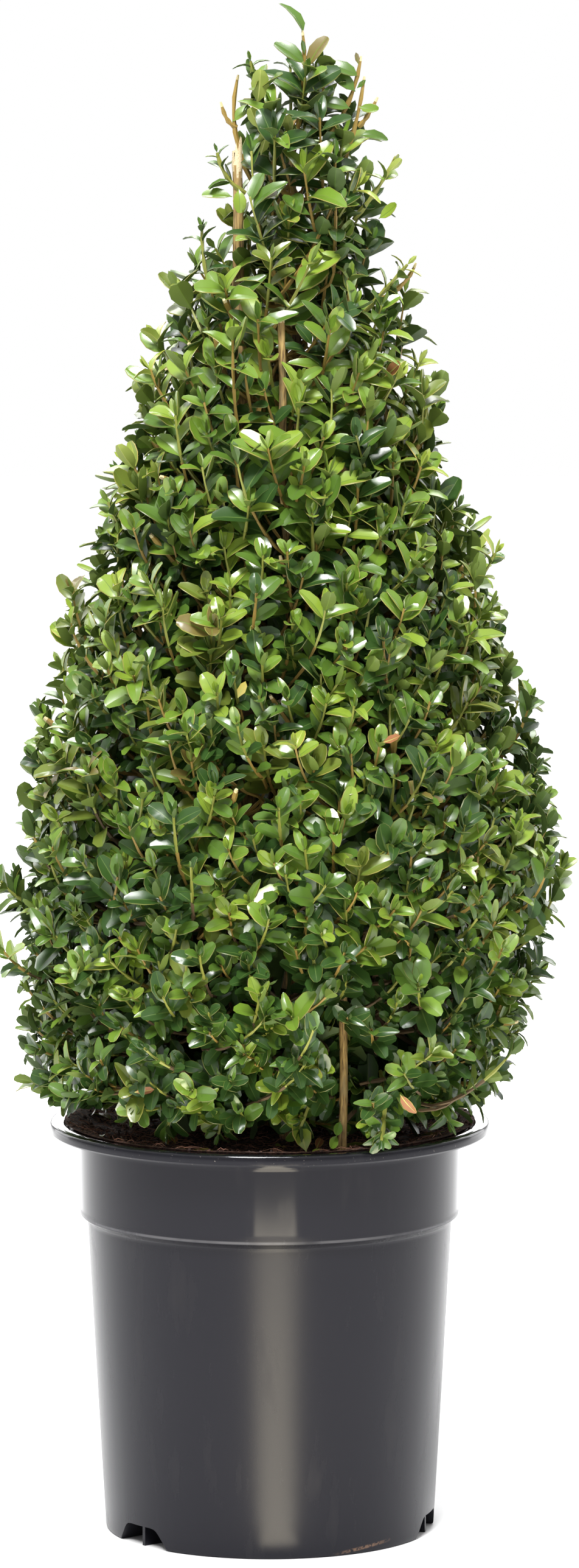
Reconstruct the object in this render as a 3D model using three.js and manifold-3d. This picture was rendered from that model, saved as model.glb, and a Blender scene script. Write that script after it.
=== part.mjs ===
// A box topiary clipped to a tear-drop cone, standing in its black nursery pot. Sizes are in
// millimetres, +Z is up and the origin is the centre of the pot's underside.
//
// Several thin stems rise from the compost. The ones in the middle run up to the crown's top,
// and side boughs carry the masses of foliage: a belly and a waist that are each a ring of
// wedges round the stems, then a shoulder and a tip that the stems pass through.
import * as THREE from "three";
import { mergeVertices } from "three/addons/utils/BufferGeometryUtils.js";
import Module from "manifold-3d";

const wasm = await Module();
wasm.setup();

const CLEARANCE = 0.35; // free space between two solids that meet
const LEAST_EDGE = 0.02; // finer detail is merged away after a cut or a join
const MOST_EDGE = 0.2; // and never more than this

// Pot
const POT_RIM_RADIUS = 132.5;
const POT_HEIGHT = 248.5;
const POT_FOOT_RADIUS = 99.4;
const POT_WALL = 2.2;
const POT_COLLAR_RADIUS = 115.6; // outside of the wide band under the rim
const POT_COLLAR_HEIGHT = 192.5; // where that band steps in to the tapered body
const POT_COLLAR_STEP = 4.4;
const POT_COLLAR_DRAFT = 1.2; // how much narrower the collar is at its foot
const POT_RIM_DROP = 7; // height of the rim's rolled lip
const POT_RIM_WIDTH = 8; // across the rim's flat top
const POT_SIDES = 48;
const NOTCH_AZIMUTHS = [-51, 76, 194]; // degrees round the foot, 0 at the front
const NOTCH_HEIGHT = 12.5;
const NOTCH_HALF_WIDTH_FOOT = 23;
const NOTCH_HALF_WIDTH_TOP = 13.5;
const NOTCH_DEPTH = 24;
const NOTCH_RIB = 2.4;
const DRAIN_SLOT = [7, 12]; // across and along the radius, through a notch's roof

// Compost
const SOIL_LEVEL = 241;
const SOIL_CROWNING = 2.5; // how much the middle stands above the edge
const SOIL_RINGS = [0.97, 0.5, 0]; // where the domed surface is faceted, as shares of its radius
const STEM_SEAT_DEPTH = 2; // how far a stem's flat cut lies under the compost's surface

// Crown: the clipped outline as its radius at a few heights, from the skirt to the topmost shoot
const OUTLINE = [
  { z: 250, radius: 122 },
  { z: 275, radius: 150 },
  { z: 330, radius: 161 },
  { z: 400, radius: 169 },
  { z: 470, radius: 154 },
  { z: 560, radius: 134 },
  { z: 640, radius: 107 },
  { z: 720, radius: 84 },
  { z: 780, radius: 64 },
  { z: 840, radius: 51 },
  { z: 885, radius: 34 },
  { z: 918, radius: 6 },
];
const CROWN_FOOT = OUTLINE[0].z;
const CROWN_TOP = OUTLINE[OUTLINE.length - 1].z;
const CROWN_LEAN = 18; // how far the top stands to the right of the foot
const CORE_DEPTH = 34; // from the clipped outline in to the dense core
const CORE_LEAST_RADIUS = 9;
const CORE_FOOT_RISE = 16; // from the crown's foot up to the flat underside of the belly's cores
const CORE_FOOT_TUCK = 22; // how much narrower the cores are at that underside
const CORE_TOP_DROP = 52; // from the topmost leaf down to the end of the tip's core
const CORE_LEVELS = 4;
const CORE_SIDES = 20;
const INNER_RADIUS = 60; // clear space round the stems inside the belly and the waist
const MASS_GAP = 0.8; // free space between one mass and the next
const ROOT_MARGIN = 8; // a twig's root stays this far inside its mass's band of height

// Shoots and leaves, each leaf standing for a spray of the small real ones
const SHOOT_COUNT = 134;
const SHOOT_LENGTH = 44;
const SHOOT_RADIUS = 1.5;
const SHOOT_INSET = [19, 29]; // from the clipped outline in to a shoot's end
const SHOOT_TRIES = 14; // placings tried for a shoot, of which the fullest and furthest out is kept
const SHOOT_SHIFT = { turn: 0.13, rise: 16 }; // how far the last placing tried may stray
const LEAF_LENGTH = 44;
const LEAF_WIDTH = 24;
const LEAF_THICKNESS = 1.8;
const LEAF_CUP = 2;
const LEAF_OVERHANG = 4; // how far a leaf's tip may pass the clipped outline
const LEAF_PAIRS = [
  { at: 0.7, spread: 66, size: 1 },
  { at: 0.98, spread: 40, size: 0.82 },
]; // how far along the twig, degrees out from it, and the leaves' relative length
const SEED = 11;

// Stems from the compost: where each stands, where it ends, its radii and how far it bows out
const STEMS = [
  { name: "stem_main", foot: [-6, 4], top: [-19, -6, 834], radii: [7.2, 2.9], bow: [-3, 4], flare: 3 },
  { name: "stem_leader", foot: [16, 22], top: [13, 0, 850], radii: [5, 1.7], bow: [3, 6], flare: 2 },
  { name: "stem_right", foot: [43, -90], top: [40, 3, 782], radii: [3.4, 1.9], bow: [4, -24], flare: 1 },
  { name: "stem_front", foot: [10, -44], top: [7, -58, 736], radii: [3.6, 2.1], bow: [2, -4], flare: 1 },
  { name: "stem_left", foot: [-46, -8], top: [-52, 6, 700], radii: [3.8, 1.8], bow: [-3, 0], flare: 1 },
  { name: "stem_back", foot: [-4, 50], top: [4, 54, 712], radii: [4, 1.9], bow: [4, 4], flare: 1 },
];
const STEM_SIDES = 6;
const STEM_STEP = 52; // height between a stem's sections
const FLARE_HEIGHT = 14;
const STEM_ZIGZAG = 1.6;

// Side boughs: the stem each leaves and at what height, and the ring of masses it carries
const BELLY = { name: "belly", from: CROWN_FOOT, to: 470, wedges: 5, turn: 18, boughAt: 318, boughRise: 34 };
const WAIST = { name: "waist", from: 470, to: 640, wedges: 4, turn: 45, boughAt: 500, boughRise: 30 };
const SHOULDER = { name: "shoulder", from: 640, to: 780 };
const TIP = { name: "tip", from: 780, to: CROWN_TOP + 4 };
const BOUGH_RADII = [2.6, 1.7];
const BOUGH_SAG = 4;
const BOUGH_REACH = 12; // how far a bough's end enters its mass

const MATERIALS = {
  pot: new THREE.MeshStandardMaterial({ color: 0x2b2b2e, roughness: 0.38, metalness: 0 }),
  soil: new THREE.MeshStandardMaterial({ color: 0x2c1d16, roughness: 0.95, metalness: 0 }),
  bark: new THREE.MeshStandardMaterial({ color: 0x8d7044, roughness: 0.8, metalness: 0 }),
  foliage: new THREE.MeshStandardMaterial({ color: 0x3d6427, roughness: 0.4, metalness: 0 }),
};

/** A seeded generator of numbers from 0 to 1. */
function randomFrom(seed) {
  let state = seed >>> 0;
  return () => {
    state = (state + 0x6d2b79f5) >>> 0;
    let t = Math.imul(state ^ (state >>> 15), state | 1);
    t ^= t + Math.imul(t ^ (t >>> 7), t | 61);
    return ((t ^ (t >>> 14)) >>> 0) / 4294967296;
  };
}

const random = randomFrom(SEED);
const between = (low, high) => low + (high - low) * random();
const radians = THREE.MathUtils.degToRad;
const onBearing = (azimuth, radius, z) =>
  new THREE.Vector3(Math.sin(azimuth) * radius, -Math.cos(azimuth) * radius, z);

/** A closed three.js geometry as a manifold solid. */
function solid(geometry) {
  const bare = geometry.clone();
  bare.deleteAttribute("normal");
  bare.deleteAttribute("uv");
  const merged = mergeVertices(bare, 1e-3);
  return new wasm.Manifold(
    new wasm.Mesh({
      numProp: 3,
      vertProperties: new Float32Array(merged.attributes.position.array),
      triVerts: new Uint32Array(merged.index.array),
    }),
  );
}

/** The largest body of a manifold solid: scraps cut loose and sealed hollows are dropped. */
function largest(made) {
  return made.decompose().reduce((best, body) => (body.volume() > best.volume() ? body : best));
}

/** The surface of a manifold solid. */
function geometryOf(made) {
  const { vertProperties, triVerts } = made.getMesh();
  const geometry = new THREE.BufferGeometry();
  geometry.setAttribute("position", new THREE.BufferAttribute(new Float32Array(vertProperties), 3));
  geometry.setIndex(new THREE.BufferAttribute(new Uint32Array(triVerts), 1));
  return geometry;
}

/** True if no edge of a surface is shared by more than two faces once equal points are one. */
function isSimple(geometry) {
  const place = geometry.attributes.position;
  const key = (i) => [place.getX(i), place.getY(i), place.getZ(i)].map((v) => Math.round(v * 1e4)).join();
  const seen = new Set();
  const corners = geometry.index.array;
  for (let i = 0; i < corners.length; i += 3) {
    const face = [key(corners[i]), key(corners[i + 1]), key(corners[i + 2])];
    for (let side = 0; side < 3; side++) {
      const edge = `${face[side]}>${face[(side + 1) % 3]}`;
      if (face[side] === face[(side + 1) % 3] || seen.has(edge)) return false;
      seen.add(edge);
    }
  }
  return true;
}

/** A solid's surface with finer detail than an edge merged away, or null where it isn't sound. */
function soundSurface(made, edge) {
  const welded = solid(geometryOf(largest(made.simplify(edge))));
  const surface = geometryOf(largest(welded.simplify(edge)));
  const bodies = solid(surface).decompose();
  return bodies.length === 1 && isSimple(surface) ? surface : null;
}

/** A named mesh of what a maker returns, made again and simplified more where it isn't sound. */
function meshOf(name, maker, material) {
  let geometry = null;
  for (let edge = LEAST_EDGE; edge < MOST_EDGE && !geometry; edge *= 1.5)
    geometry = soundSurface(maker(), edge);
  if (!geometry) throw new Error(`${name} has no sound surface`);
  geometry.computeVertexNormals();
  const mesh = new THREE.Mesh(geometry, material);
  mesh.name = name;
  return mesh;
}

/** A solid of revolution about +Z from a closed profile of [radius, height] pairs. */
function turned(profile, sides) {
  const points = profile.map(([radius, height]) => new THREE.Vector2(radius, height));
  return solid(new THREE.LatheGeometry(points, sides).rotateX(Math.PI / 2));
}

/** A round bar whose axis and radius follow functions of t, from 0 to 1, with flat ends. */
function bar(axisAt, radiusAt, sides, sections) {
  const geometry = new THREE.CylinderGeometry(1, 1, 1, sides, sections).rotateX(Math.PI / 2);
  const place = geometry.attributes.position;
  for (let i = 0; i < place.count; i++) {
    const t = place.getZ(i) + 0.5;
    const radius = radiusAt(t);
    const centre = axisAt(t);
    const along = axisAt(Math.min(1, t + 0.01)).sub(axisAt(Math.max(0, t - 0.01))).normalize();
    const turn = new THREE.Quaternion().setFromUnitVectors(new THREE.Vector3(0, 0, 1), along);
    const offset = new THREE.Vector3(place.getX(i) * radius, place.getY(i) * radius, 0);
    centre.add(offset.applyQuaternion(turn));
    place.setXYZ(i, centre.x, centre.y, centre.z);
  }
  return solid(geometry);
}

// ---- Pot and compost ----

const BODY_TOP_RADIUS = POT_COLLAR_RADIUS - POT_COLLAR_DRAFT - POT_COLLAR_STEP;
const NECK = POT_HEIGHT - POT_RIM_DROP - 2; // where the shell turns outwards into the rim

/** The shell's inside, from the middle of its floor up to the rim. */
function insideProfile() {
  const collar = POT_COLLAR_RADIUS - POT_WALL;
  return [
    [0, POT_WALL],
    [POT_FOOT_RADIUS - POT_WALL, POT_WALL],
    [BODY_TOP_RADIUS - POT_WALL, POT_COLLAR_HEIGHT - 3],
    [collar - POT_COLLAR_DRAFT, POT_COLLAR_HEIGHT + POT_WALL],
    [collar, NECK - 2],
    [collar + 1.5, NECK + 3],
    [POT_RIM_RADIUS - POT_RIM_WIDTH, POT_HEIGHT],
  ];
}

/** The shell's outside, from the rolled rim down over the collar, step and body to its foot. */
function outsideProfile() {
  return [
    [POT_RIM_RADIUS - 1.8, POT_HEIGHT],
    [POT_RIM_RADIUS, POT_HEIGHT - 1.6],
    [POT_RIM_RADIUS, POT_HEIGHT - POT_RIM_DROP + 1],
    [POT_RIM_RADIUS - 2, POT_HEIGHT - POT_RIM_DROP],
    [POT_COLLAR_RADIUS, NECK],
    [POT_COLLAR_RADIUS - POT_COLLAR_DRAFT, POT_COLLAR_HEIGHT],
    [BODY_TOP_RADIUS, POT_COLLAR_HEIGHT - 3],
    [POT_FOOT_RADIUS, 0],
    [0, 0],
  ];
}

/** A notch's wedge in the foot, grown on all sides by the given wall. */
function notchBlock(azimuth, wall) {
  const outline = new THREE.Shape();
  outline.moveTo(-NOTCH_HALF_WIDTH_FOOT - wall, -5);
  outline.lineTo(NOTCH_HALF_WIDTH_FOOT + wall, -5);
  outline.lineTo(NOTCH_HALF_WIDTH_FOOT + wall, 0);
  outline.lineTo(NOTCH_HALF_WIDTH_TOP + wall, NOTCH_HEIGHT + wall);
  outline.lineTo(-NOTCH_HALF_WIDTH_TOP - wall, NOTCH_HEIGHT + wall);
  outline.lineTo(-NOTCH_HALF_WIDTH_FOOT - wall, 0);
  const depth = NOTCH_DEPTH + wall + 10;
  const block = new THREE.ExtrudeGeometry(outline, { depth, bevelEnabled: false });
  block.rotateX(Math.PI / 2); // the notch's way out now points to the front, -Y
  block.translate(0, -POT_FOOT_RADIUS + NOTCH_DEPTH + wall, 0);
  return solid(block.rotateZ(azimuth));
}

function makePot() {
  let shell = turned([...insideProfile(), ...outsideProfile()].reverse(), POT_SIDES);
  const inside = turned([[0, 0], [POT_FOOT_RADIUS - 0.5, 0], [POT_FOOT_RADIUS + 1, 30], [0, 30]], POT_SIDES);
  for (const degrees of NOTCH_AZIMUTHS) {
    const azimuth = radians(degrees);
    const rib = new THREE.BoxGeometry(NOTCH_RIB, NOTCH_DEPTH - 1, NOTCH_HEIGHT + 1)
      .translate(0, -POT_FOOT_RADIUS + NOTCH_DEPTH / 2 + 2, NOTCH_HEIGHT / 2 + 0.5)
      .rotateZ(azimuth);
    const slot = new THREE.BoxGeometry(DRAIN_SLOT[0], DRAIN_SLOT[1], 10)
      .translate(DRAIN_SLOT[0], -POT_FOOT_RADIUS + NOTCH_DEPTH / 2 + 3, NOTCH_HEIGHT)
      .rotateZ(azimuth);
    shell = shell
      .add(notchBlock(azimuth, POT_WALL).intersect(inside))
      .subtract(notchBlock(azimuth, 0))
      .subtract(solid(slot))
      .add(solid(rib));
  }
  return shell;
}

/** The compost's height at a distance from the pot's axis. */
const soilHeight = (radius) => SOIL_LEVEL + SOIL_CROWNING * (1 - (radius / POT_COLLAR_RADIUS) ** 2);

/** The compost's outline: up the shell's inside with a gap, then over its domed surface. */
function soilProfile() {
  const floor = POT_WALL + CLEARANCE;
  const wall = insideProfile()
    .filter(([, height]) => height < SOIL_LEVEL)
    .map(([radius, height]) => [Math.max(0, radius - CLEARANCE), Math.max(floor, height)]);
  const edge = wall[wall.length - 1][0];
  return [...wall, ...SOIL_RINGS.map((share) => [edge * share, soilHeight(edge * share)])];
}

function makeSoil() {
  let plug = turned(soilProfile(), POT_SIDES);
  for (const degrees of NOTCH_AZIMUTHS)
    plug = plug.subtract(notchBlock(radians(degrees), POT_WALL + CLEARANCE));
  for (const stem of STEMS) plug = plug.subtract(stemBar(stem, CLEARANCE));
  return plug;
}

// ---- Stems and boughs ----

/** The axis of a stem at t, from its flat cut to its top: a lean, a bow and a slight zigzag. */
function stemAxis({ foot, top, bow }) {
  const from = new THREE.Vector3(foot[0], foot[1], soilHeight(Math.hypot(...foot)) - STEM_SEAT_DEPTH);
  const to = new THREE.Vector3(...top);
  return (t) => {
    const bulge = Math.sin(Math.PI * t);
    const zigzag = STEM_ZIGZAG * Math.sin(9 * Math.PI * t) * bulge;
    const aside = new THREE.Vector3(bow[0] * bulge + zigzag, bow[1] * bulge - zigzag, 0);
    return from.clone().lerp(to, t).add(aside);
  };
}

/** A stem's radius at t, with the flare of its foot. */
function stemRadius({ top, radii, flare }) {
  return (t) => {
    const rise = t * (top[2] - SOIL_LEVEL);
    const foot = flare * Math.max(0, 1 - rise / FLARE_HEIGHT) ** 2;
    return radii[0] + (radii[1] - radii[0]) * t ** 0.8 + foot;
  };
}

/** A stem as a solid, grown by a gap where its neighbours are cut clear of it. */
function stemBar(stem, gap = 0) {
  const axis = stemAxis(stem);
  const radius = stemRadius(stem);
  const sections = Math.round((stem.top[2] - SOIL_LEVEL) / STEM_STEP);
  const stretched = (t) => axis(t).add(new THREE.Vector3(0, 0, gap * (2 * t - 1)));
  return bar(stretched, (t) => radius(t) + gap, STEM_SIDES, sections);
}

/** The stem whose axis at a height lies nearest to a bearing. */
function stemTowards(azimuth, z) {
  const facing = onBearing(azimuth, INNER_RADIUS, z);
  const reaching = STEMS.filter((stem) => stem.top[2] > z + 20);
  return reaching
    .map((stem) => ({ stem, point: stemAxis(stem)((z - SOIL_LEVEL) / (stem.top[2] - SOIL_LEVEL)) }))
    .reduce((best, one) => (one.point.distanceTo(facing) < best.point.distanceTo(facing) ? one : best));
}

/** A side bough: from the axis of its stem out into a wedge's mass, as an axis and its ends. */
function boughOf(ring, index) {
  const azimuth = radians(ring.turn + (360 / ring.wedges) * (index + 0.5));
  const from = stemTowards(azimuth, ring.boughAt).point;
  const to = onBearing(azimuth, INNER_RADIUS + BOUGH_REACH, ring.boughAt + ring.boughRise);
  to.x += leanAt(to.z);
  const sag = (t) => new THREE.Vector3(0, 0, -BOUGH_SAG * Math.sin(Math.PI * t));
  const axis = (t) => from.clone().lerp(to, t).add(sag(t));
  return { name: `bough_${ring.name}_${index + 1}`, axis };
}

/** A bough as a solid, grown by a gap where its mass is cut clear of it. */
function boughBar(bough, gap = 0) {
  const past = bough.axis(1).sub(bough.axis(0.9)).normalize().multiplyScalar(gap);
  const axis = (t) => bough.axis(t).add(past.clone().multiplyScalar(t));
  return bar(axis, (t) => BOUGH_RADII[0] + (BOUGH_RADII[1] - BOUGH_RADII[0]) * t + gap, STEM_SIDES, 3);
}

// ---- Crown ----

const outline = new THREE.SplineCurve(OUTLINE.map(({ z, radius }) => new THREE.Vector2(z, radius)));
const outlineTable = outline.getPoints(OUTLINE.length * 12);

/** The clipped outline's radius at a height, or 0 above and below the crown. */
function outlineRadius(z) {
  const next = outlineTable.findIndex((point) => point.x >= z);
  if (next < 0) return 0;
  if (next === 0) return z >= CROWN_FOOT ? outlineTable[0].y : 0;
  const [a, b] = [outlineTable[next - 1], outlineTable[next]];
  return THREE.MathUtils.mapLinear(z, a.x, b.x, a.y, b.y);
}

/** How far the crown's axis stands to the right at a height. */
const leanAt = (z) => CROWN_LEAN * Math.max(0, (z - CROWN_FOOT) / (CROWN_TOP - CROWN_FOOT)) ** 0.6;

/** The dense core's radius at a height. */
const coreRadius = (z) => Math.max(CORE_LEAST_RADIUS, outlineRadius(z) - CORE_DEPTH);

/** The masses as wedges of height and bearing, each with the bough that carries it. */
function layOutMasses() {
  const rings = [BELLY, WAIST].flatMap((ring) =>
    Array.from({ length: ring.wedges }, (_, index) => ({
      name: `foliage_${ring.name}_${index + 1}`,
      from: ring.from,
      to: ring.to,
      start: radians(ring.turn + (360 / ring.wedges) * index),
      sweep: (2 * Math.PI) / ring.wedges,
      inner: INNER_RADIUS,
      bough: boughOf(ring, index),
    })),
  );
  const whole = [SHOULDER, TIP].map((band) => ({ ...band, name: `foliage_${band.name}`, inner: 0 }));
  return [...rings, ...whole];
}

/** How far a point lies inside a mass's flat borders: its bands of height and its wedge's sides. */
function depthInMass(mass, point) {
  let depth = Math.min(point.z - mass.from, mass.to - point.z);
  if (!mass.sweep) return depth;
  const x = point.x - leanAt(point.z);
  const middle = mass.start + mass.sweep / 2;
  const across = x * Math.cos(middle) + point.y * Math.sin(middle);
  const outwards = x * Math.sin(middle) - point.y * Math.cos(middle);
  const half = mass.sweep / 2;
  depth = Math.min(depth, outwards * Math.sin(half) - Math.abs(across) * Math.cos(half));
  return depth;
}

/** True if a point lies within a mass's borders and the clipped outline. */
function keepsTo(mass, point, margin = MASS_GAP) {
  const radius = Math.hypot(point.x - leanAt(point.z), point.y);
  return depthInMass(mass, point) > margin && radius < outlineRadius(point.z) + LEAF_OVERHANG;
}

/** The dense core of a mass: its share of a ring or a full turn, leaning with the crown. */
function massCore(mass) {
  const atFoot = mass.from === CROWN_FOOT;
  const low = mass.from + (atFoot ? CORE_FOOT_RISE : MASS_GAP / 2);
  const high = Math.min(mass.to - MASS_GAP / 2, CROWN_TOP - CORE_TOP_DROP);
  const profile = [[mass.inner, low]];
  for (let i = 0; i <= CORE_LEVELS; i++) {
    const z = THREE.MathUtils.lerp(low, high, i / CORE_LEVELS);
    profile.push([coreRadius(z) - (atFoot && i === 0 ? CORE_FOOT_TUCK : 0), z]);
  }
  profile.push([mass.inner, high]);
  if (mass.inner) profile.push(profile[0]);
  let core = turned(profile, CORE_SIDES);
  if (mass.sweep) {
    const middle = mass.start + mass.sweep / 2;
    const apex = onBearing(0, MASS_GAP / 2 / Math.sin(mass.sweep / 2), 0);
    const sides = [-1, 1].map((side) => onBearing((side * mass.sweep) / 2, 3 * POT_RIM_RADIUS, 0));
    const wedge = new THREE.Shape([apex, sides[1], sides[0]].map(({ x, y }) => new THREE.Vector2(x, y)));
    const block = new THREE.ExtrudeGeometry(wedge, { depth: CROWN_TOP, bevelEnabled: false });
    core = core.intersect(solid(block.rotateZ(middle)));
  }
  return core.warp((vertex) => {
    vertex[0] += leanAt(vertex[2]);
  });
}

/** A leaf of eight faces from its root, along a direction, with its upper side towards up. */
function leafGeometry(root, direction, up, length) {
  const geometry = new THREE.OctahedronGeometry(1);
  const across = new THREE.Vector3().crossVectors(up, direction).normalize();
  const normal = new THREE.Vector3().crossVectors(direction, across);
  const scale = length / LEAF_LENGTH;
  const place = geometry.attributes.position;
  for (let i = 0; i < place.count; i++) {
    const [x, y, z] = [place.getX(i), place.getY(i), place.getZ(i)];
    const isMiddle = x === 0; // the blade is widest a little past its middle, and its middle is cupped
    const point = root
      .clone()
      .addScaledVector(direction, length * (0.5 + 0.5 * x + (isMiddle ? 0.08 : 0)))
      .addScaledVector(across, 0.5 * LEAF_WIDTH * scale * y)
      .addScaledVector(normal, 0.5 * LEAF_THICKNESS * z - (isMiddle && y === 0 ? LEAF_CUP * scale : 0));
    place.setXYZ(i, point.x, point.y, point.z);
  }
  return geometry;
}

/** A shoot's twig and leaves: each pair is set across the one below it. */
function shootParts(root, tip, roll) {
  const along = tip.clone().sub(root).normalize();
  const side = new THREE.Vector3().crossVectors(along, new THREE.Vector3(0, 0, 1));
  if (side.lengthSq() < 1e-4) side.set(1, 0, 0);
  side.normalize().applyAxisAngle(along, roll);
  const axis = (t) => root.clone().lerp(tip, t);
  const twig = bar(axis, (t) => SHOOT_RADIUS * (1.25 - 0.5 * t), 3, 1);
  const leaves = LEAF_PAIRS.flatMap(({ at, spread, size }, order) =>
    [0, Math.PI].map((turn) => {
      const outwards = side.clone().applyAxisAngle(along, turn + (order * Math.PI) / 2);
      const direction = along.clone().multiplyScalar(Math.cos(radians(spread)));
      direction.addScaledVector(outwards, Math.sin(radians(spread)));
      const foot = axis(at).addScaledVector(direction, -1);
      return leafGeometry(foot, direction, along, LEAF_LENGTH * size * between(0.9, 1.1));
    }),
  );
  return { twig, leaves };
}

/** The points of a geometry. */
function pointsOf(geometry) {
  const place = geometry.attributes.position;
  return Array.from({ length: place.count }, (_, i) => new THREE.Vector3().fromBufferAttribute(place, i));
}

/** True if a point lies clear of every stem. */
function clearOfStems(point) {
  return STEMS.every((stem) => {
    const t = (point.z - SOIL_LEVEL) / (stem.top[2] - SOIL_LEVEL);
    if (t > 1.02) return true;
    const inner = THREE.MathUtils.clamp(t, 0, 1);
    return stemAxis(stem)(inner).setZ(point.z).distanceTo(point) > stemRadius(stem)(inner) + 0.8;
  });
}

/** The clipped surface between two heights, for one radian round. */
function surfaceBetween(from, to) {
  let area = 0;
  for (let z = from + 1; z < to; z += 2) area += 2 * outlineRadius(z);
  return area;
}

/** Where a mass's shoots end: spread evenly over its share of the clipped surface. */
function tipsOf(mass) {
  const sweep = mass.sweep ?? 2 * Math.PI;
  const area = surfaceBetween(mass.from, mass.to) * sweep;
  const count = Math.round((SHOOT_COUNT * area) / (surfaceBetween(CROWN_FOOT, CROWN_TOP) * 2 * Math.PI));
  const tips = [];
  let z = mass.from;
  for (let i = 0; i < count; i++) {
    const wanted = ((i + 0.5) / count) * surfaceBetween(mass.from, mass.to);
    while (surfaceBetween(mass.from, z) < wanted) z += 2;
    const round = (0.5 + i * 0.618034) % 1;
    tips.push({ azimuth: (mass.start ?? 0) + sweep * round, z });
  }
  return tips;
}

/** How steeply the shoots at a height climb: nearly level in the skirt, upright at the top. */
const climbAt = (z) => THREE.MathUtils.mapLinear(z, CROWN_FOOT, CROWN_TOP, radians(2), radians(66));

/** One placing of a shoot near a tip, and how good it is: its leaves that fit, then its reach. */
function placeShoot(mass, { azimuth, z }, shift) {
  const turn = azimuth + between(-1, 1) * shift * SHOOT_SHIFT.turn;
  const climb = climbAt(z) + between(-0.2, 0.2);
  const inset = between(...SHOOT_INSET);
  const height = z + between(-1, 1) * shift * SHOOT_SHIFT.rise;
  const tip = onBearing(turn, Math.max(2, outlineRadius(height) - inset), height);
  tip.x += leanAt(tip.z);
  const inwards = onBearing(turn, -Math.cos(climb), -Math.sin(climb));
  const root = tip.clone().addScaledVector(inwards, SHOOT_LENGTH);
  root.z = THREE.MathUtils.clamp(root.z, mass.from + ROOT_MARGIN, mass.to - ROOT_MARGIN);
  const { twig, leaves } = shootParts(root, tip, between(0, Math.PI));
  const fits = (point) => keepsTo(mass, point) && clearOfStems(point);
  const kept = leaves.filter((leaf) => pointsOf(leaf).every(fits));
  const sound = keepsTo(mass, root, 3) && keepsTo(mass, tip, 3);
  return { twig, leaves: kept, worth: sound ? kept.length - inset / (2 * SHOOT_INSET[1]) : 0 };
}

/** The best of several placings of a shoot, each a little further from its tip than the last. */
function growShoot(mass, tip) {
  const tried = Array.from({ length: SHOOT_TRIES }, (_, i) => placeShoot(mass, tip, i / SHOOT_TRIES));
  return tried.reduce((best, one) => (one.worth > best.worth ? one : best));
}

/** The topmost shoot, straight up over the leader. */
function leaderShoot() {
  const tip = new THREE.Vector3(CROWN_LEAN - 3, -2, CROWN_TOP - 26);
  const root = new THREE.Vector3(CROWN_LEAN - 1, 0, CROWN_TOP - CORE_TOP_DROP - 8);
  return shootParts(root, tip, 0.5);
}

/** A mass: its core with the shoots fused on, cut clear of every limb. */
function makeMass(mass, limbs) {
  const shoots = tipsOf(mass).map((tip) => growShoot(mass, tip)).filter(({ worth }) => worth > 1);
  if (mass.to > CROWN_TOP) shoots.push(leaderShoot());
  const pieces = [massCore(mass)];
  for (const { twig, leaves } of shoots) pieces.push(twig, ...leaves.map(solid));
  const fused = wasm.Manifold.union(pieces);
  return wasm.Manifold.difference([fused, ...limbs]);
}

// ---- The whole plant ----

const masses = layOutMasses();
const stemGaps = STEMS.map((stem) => stemBar(stem, CLEARANCE));
const topiary = new THREE.Group();
topiary.add(meshOf("pot", makePot, MATERIALS.pot));
topiary.add(meshOf("soil", makeSoil, MATERIALS.soil));
for (const stem of STEMS) topiary.add(meshOf(stem.name, () => stemBar(stem), MATERIALS.bark));
for (const mass of masses) {
  const limbs = [...stemGaps];
  if (mass.bough) {
    const makeBough = () => wasm.Manifold.difference([boughBar(mass.bough), ...stemGaps]);
    topiary.add(meshOf(mass.bough.name, makeBough, MATERIALS.bark));
    limbs.push(boughBar(mass.bough, CLEARANCE));
  }
  topiary.add(meshOf(mass.name, () => makeMass(mass, limbs), MATERIALS.foliage));
}

export default topiary;
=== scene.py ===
"""A box topiary clipped to a tear-drop cone, standing in its black nursery pot.

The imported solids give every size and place. Stems and boughs get bark, each mass of foliage
becomes twigs that grow on from its limbs and carry sprays of leaves, and the pot and its
compost get their fine surfaces. Lengths are in metres, +Z is up and -Y is the front.
"""

import logging
import math
from collections.abc import Sequence
from dataclasses import dataclass, field
from enum import IntEnum
from typing import Any

import bpy
import numpy as np
from bpy.types import ColorRamp, Material, Mesh, Node, NodeSocket, Object
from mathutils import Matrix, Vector, noise


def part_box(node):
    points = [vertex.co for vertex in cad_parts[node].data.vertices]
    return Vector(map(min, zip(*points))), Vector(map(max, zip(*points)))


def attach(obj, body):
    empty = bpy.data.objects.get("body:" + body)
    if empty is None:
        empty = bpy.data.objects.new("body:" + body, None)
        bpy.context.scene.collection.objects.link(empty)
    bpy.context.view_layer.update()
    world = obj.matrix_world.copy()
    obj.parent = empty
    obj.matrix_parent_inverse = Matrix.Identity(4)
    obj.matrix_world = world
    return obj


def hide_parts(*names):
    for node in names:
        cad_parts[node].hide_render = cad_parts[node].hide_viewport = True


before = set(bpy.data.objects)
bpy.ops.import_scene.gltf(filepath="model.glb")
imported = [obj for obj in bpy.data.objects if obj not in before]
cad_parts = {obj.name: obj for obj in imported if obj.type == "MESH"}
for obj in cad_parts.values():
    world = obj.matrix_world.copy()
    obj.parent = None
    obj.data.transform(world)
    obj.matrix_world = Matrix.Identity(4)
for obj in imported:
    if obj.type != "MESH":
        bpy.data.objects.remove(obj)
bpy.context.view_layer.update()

LOG = logging.getLogger("topiary")
CAD_CROWN = (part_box("foliage_belly_1")[0].z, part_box("foliage_tip")[1].z)
UP = np.array([0.0, 0.0, 1.0])
Vector3 = np.ndarray
Colour = tuple[float, float, float]
Place = tuple[float, float, float]
Path = list[Vector3]
Pair = tuple[float, float]


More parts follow.
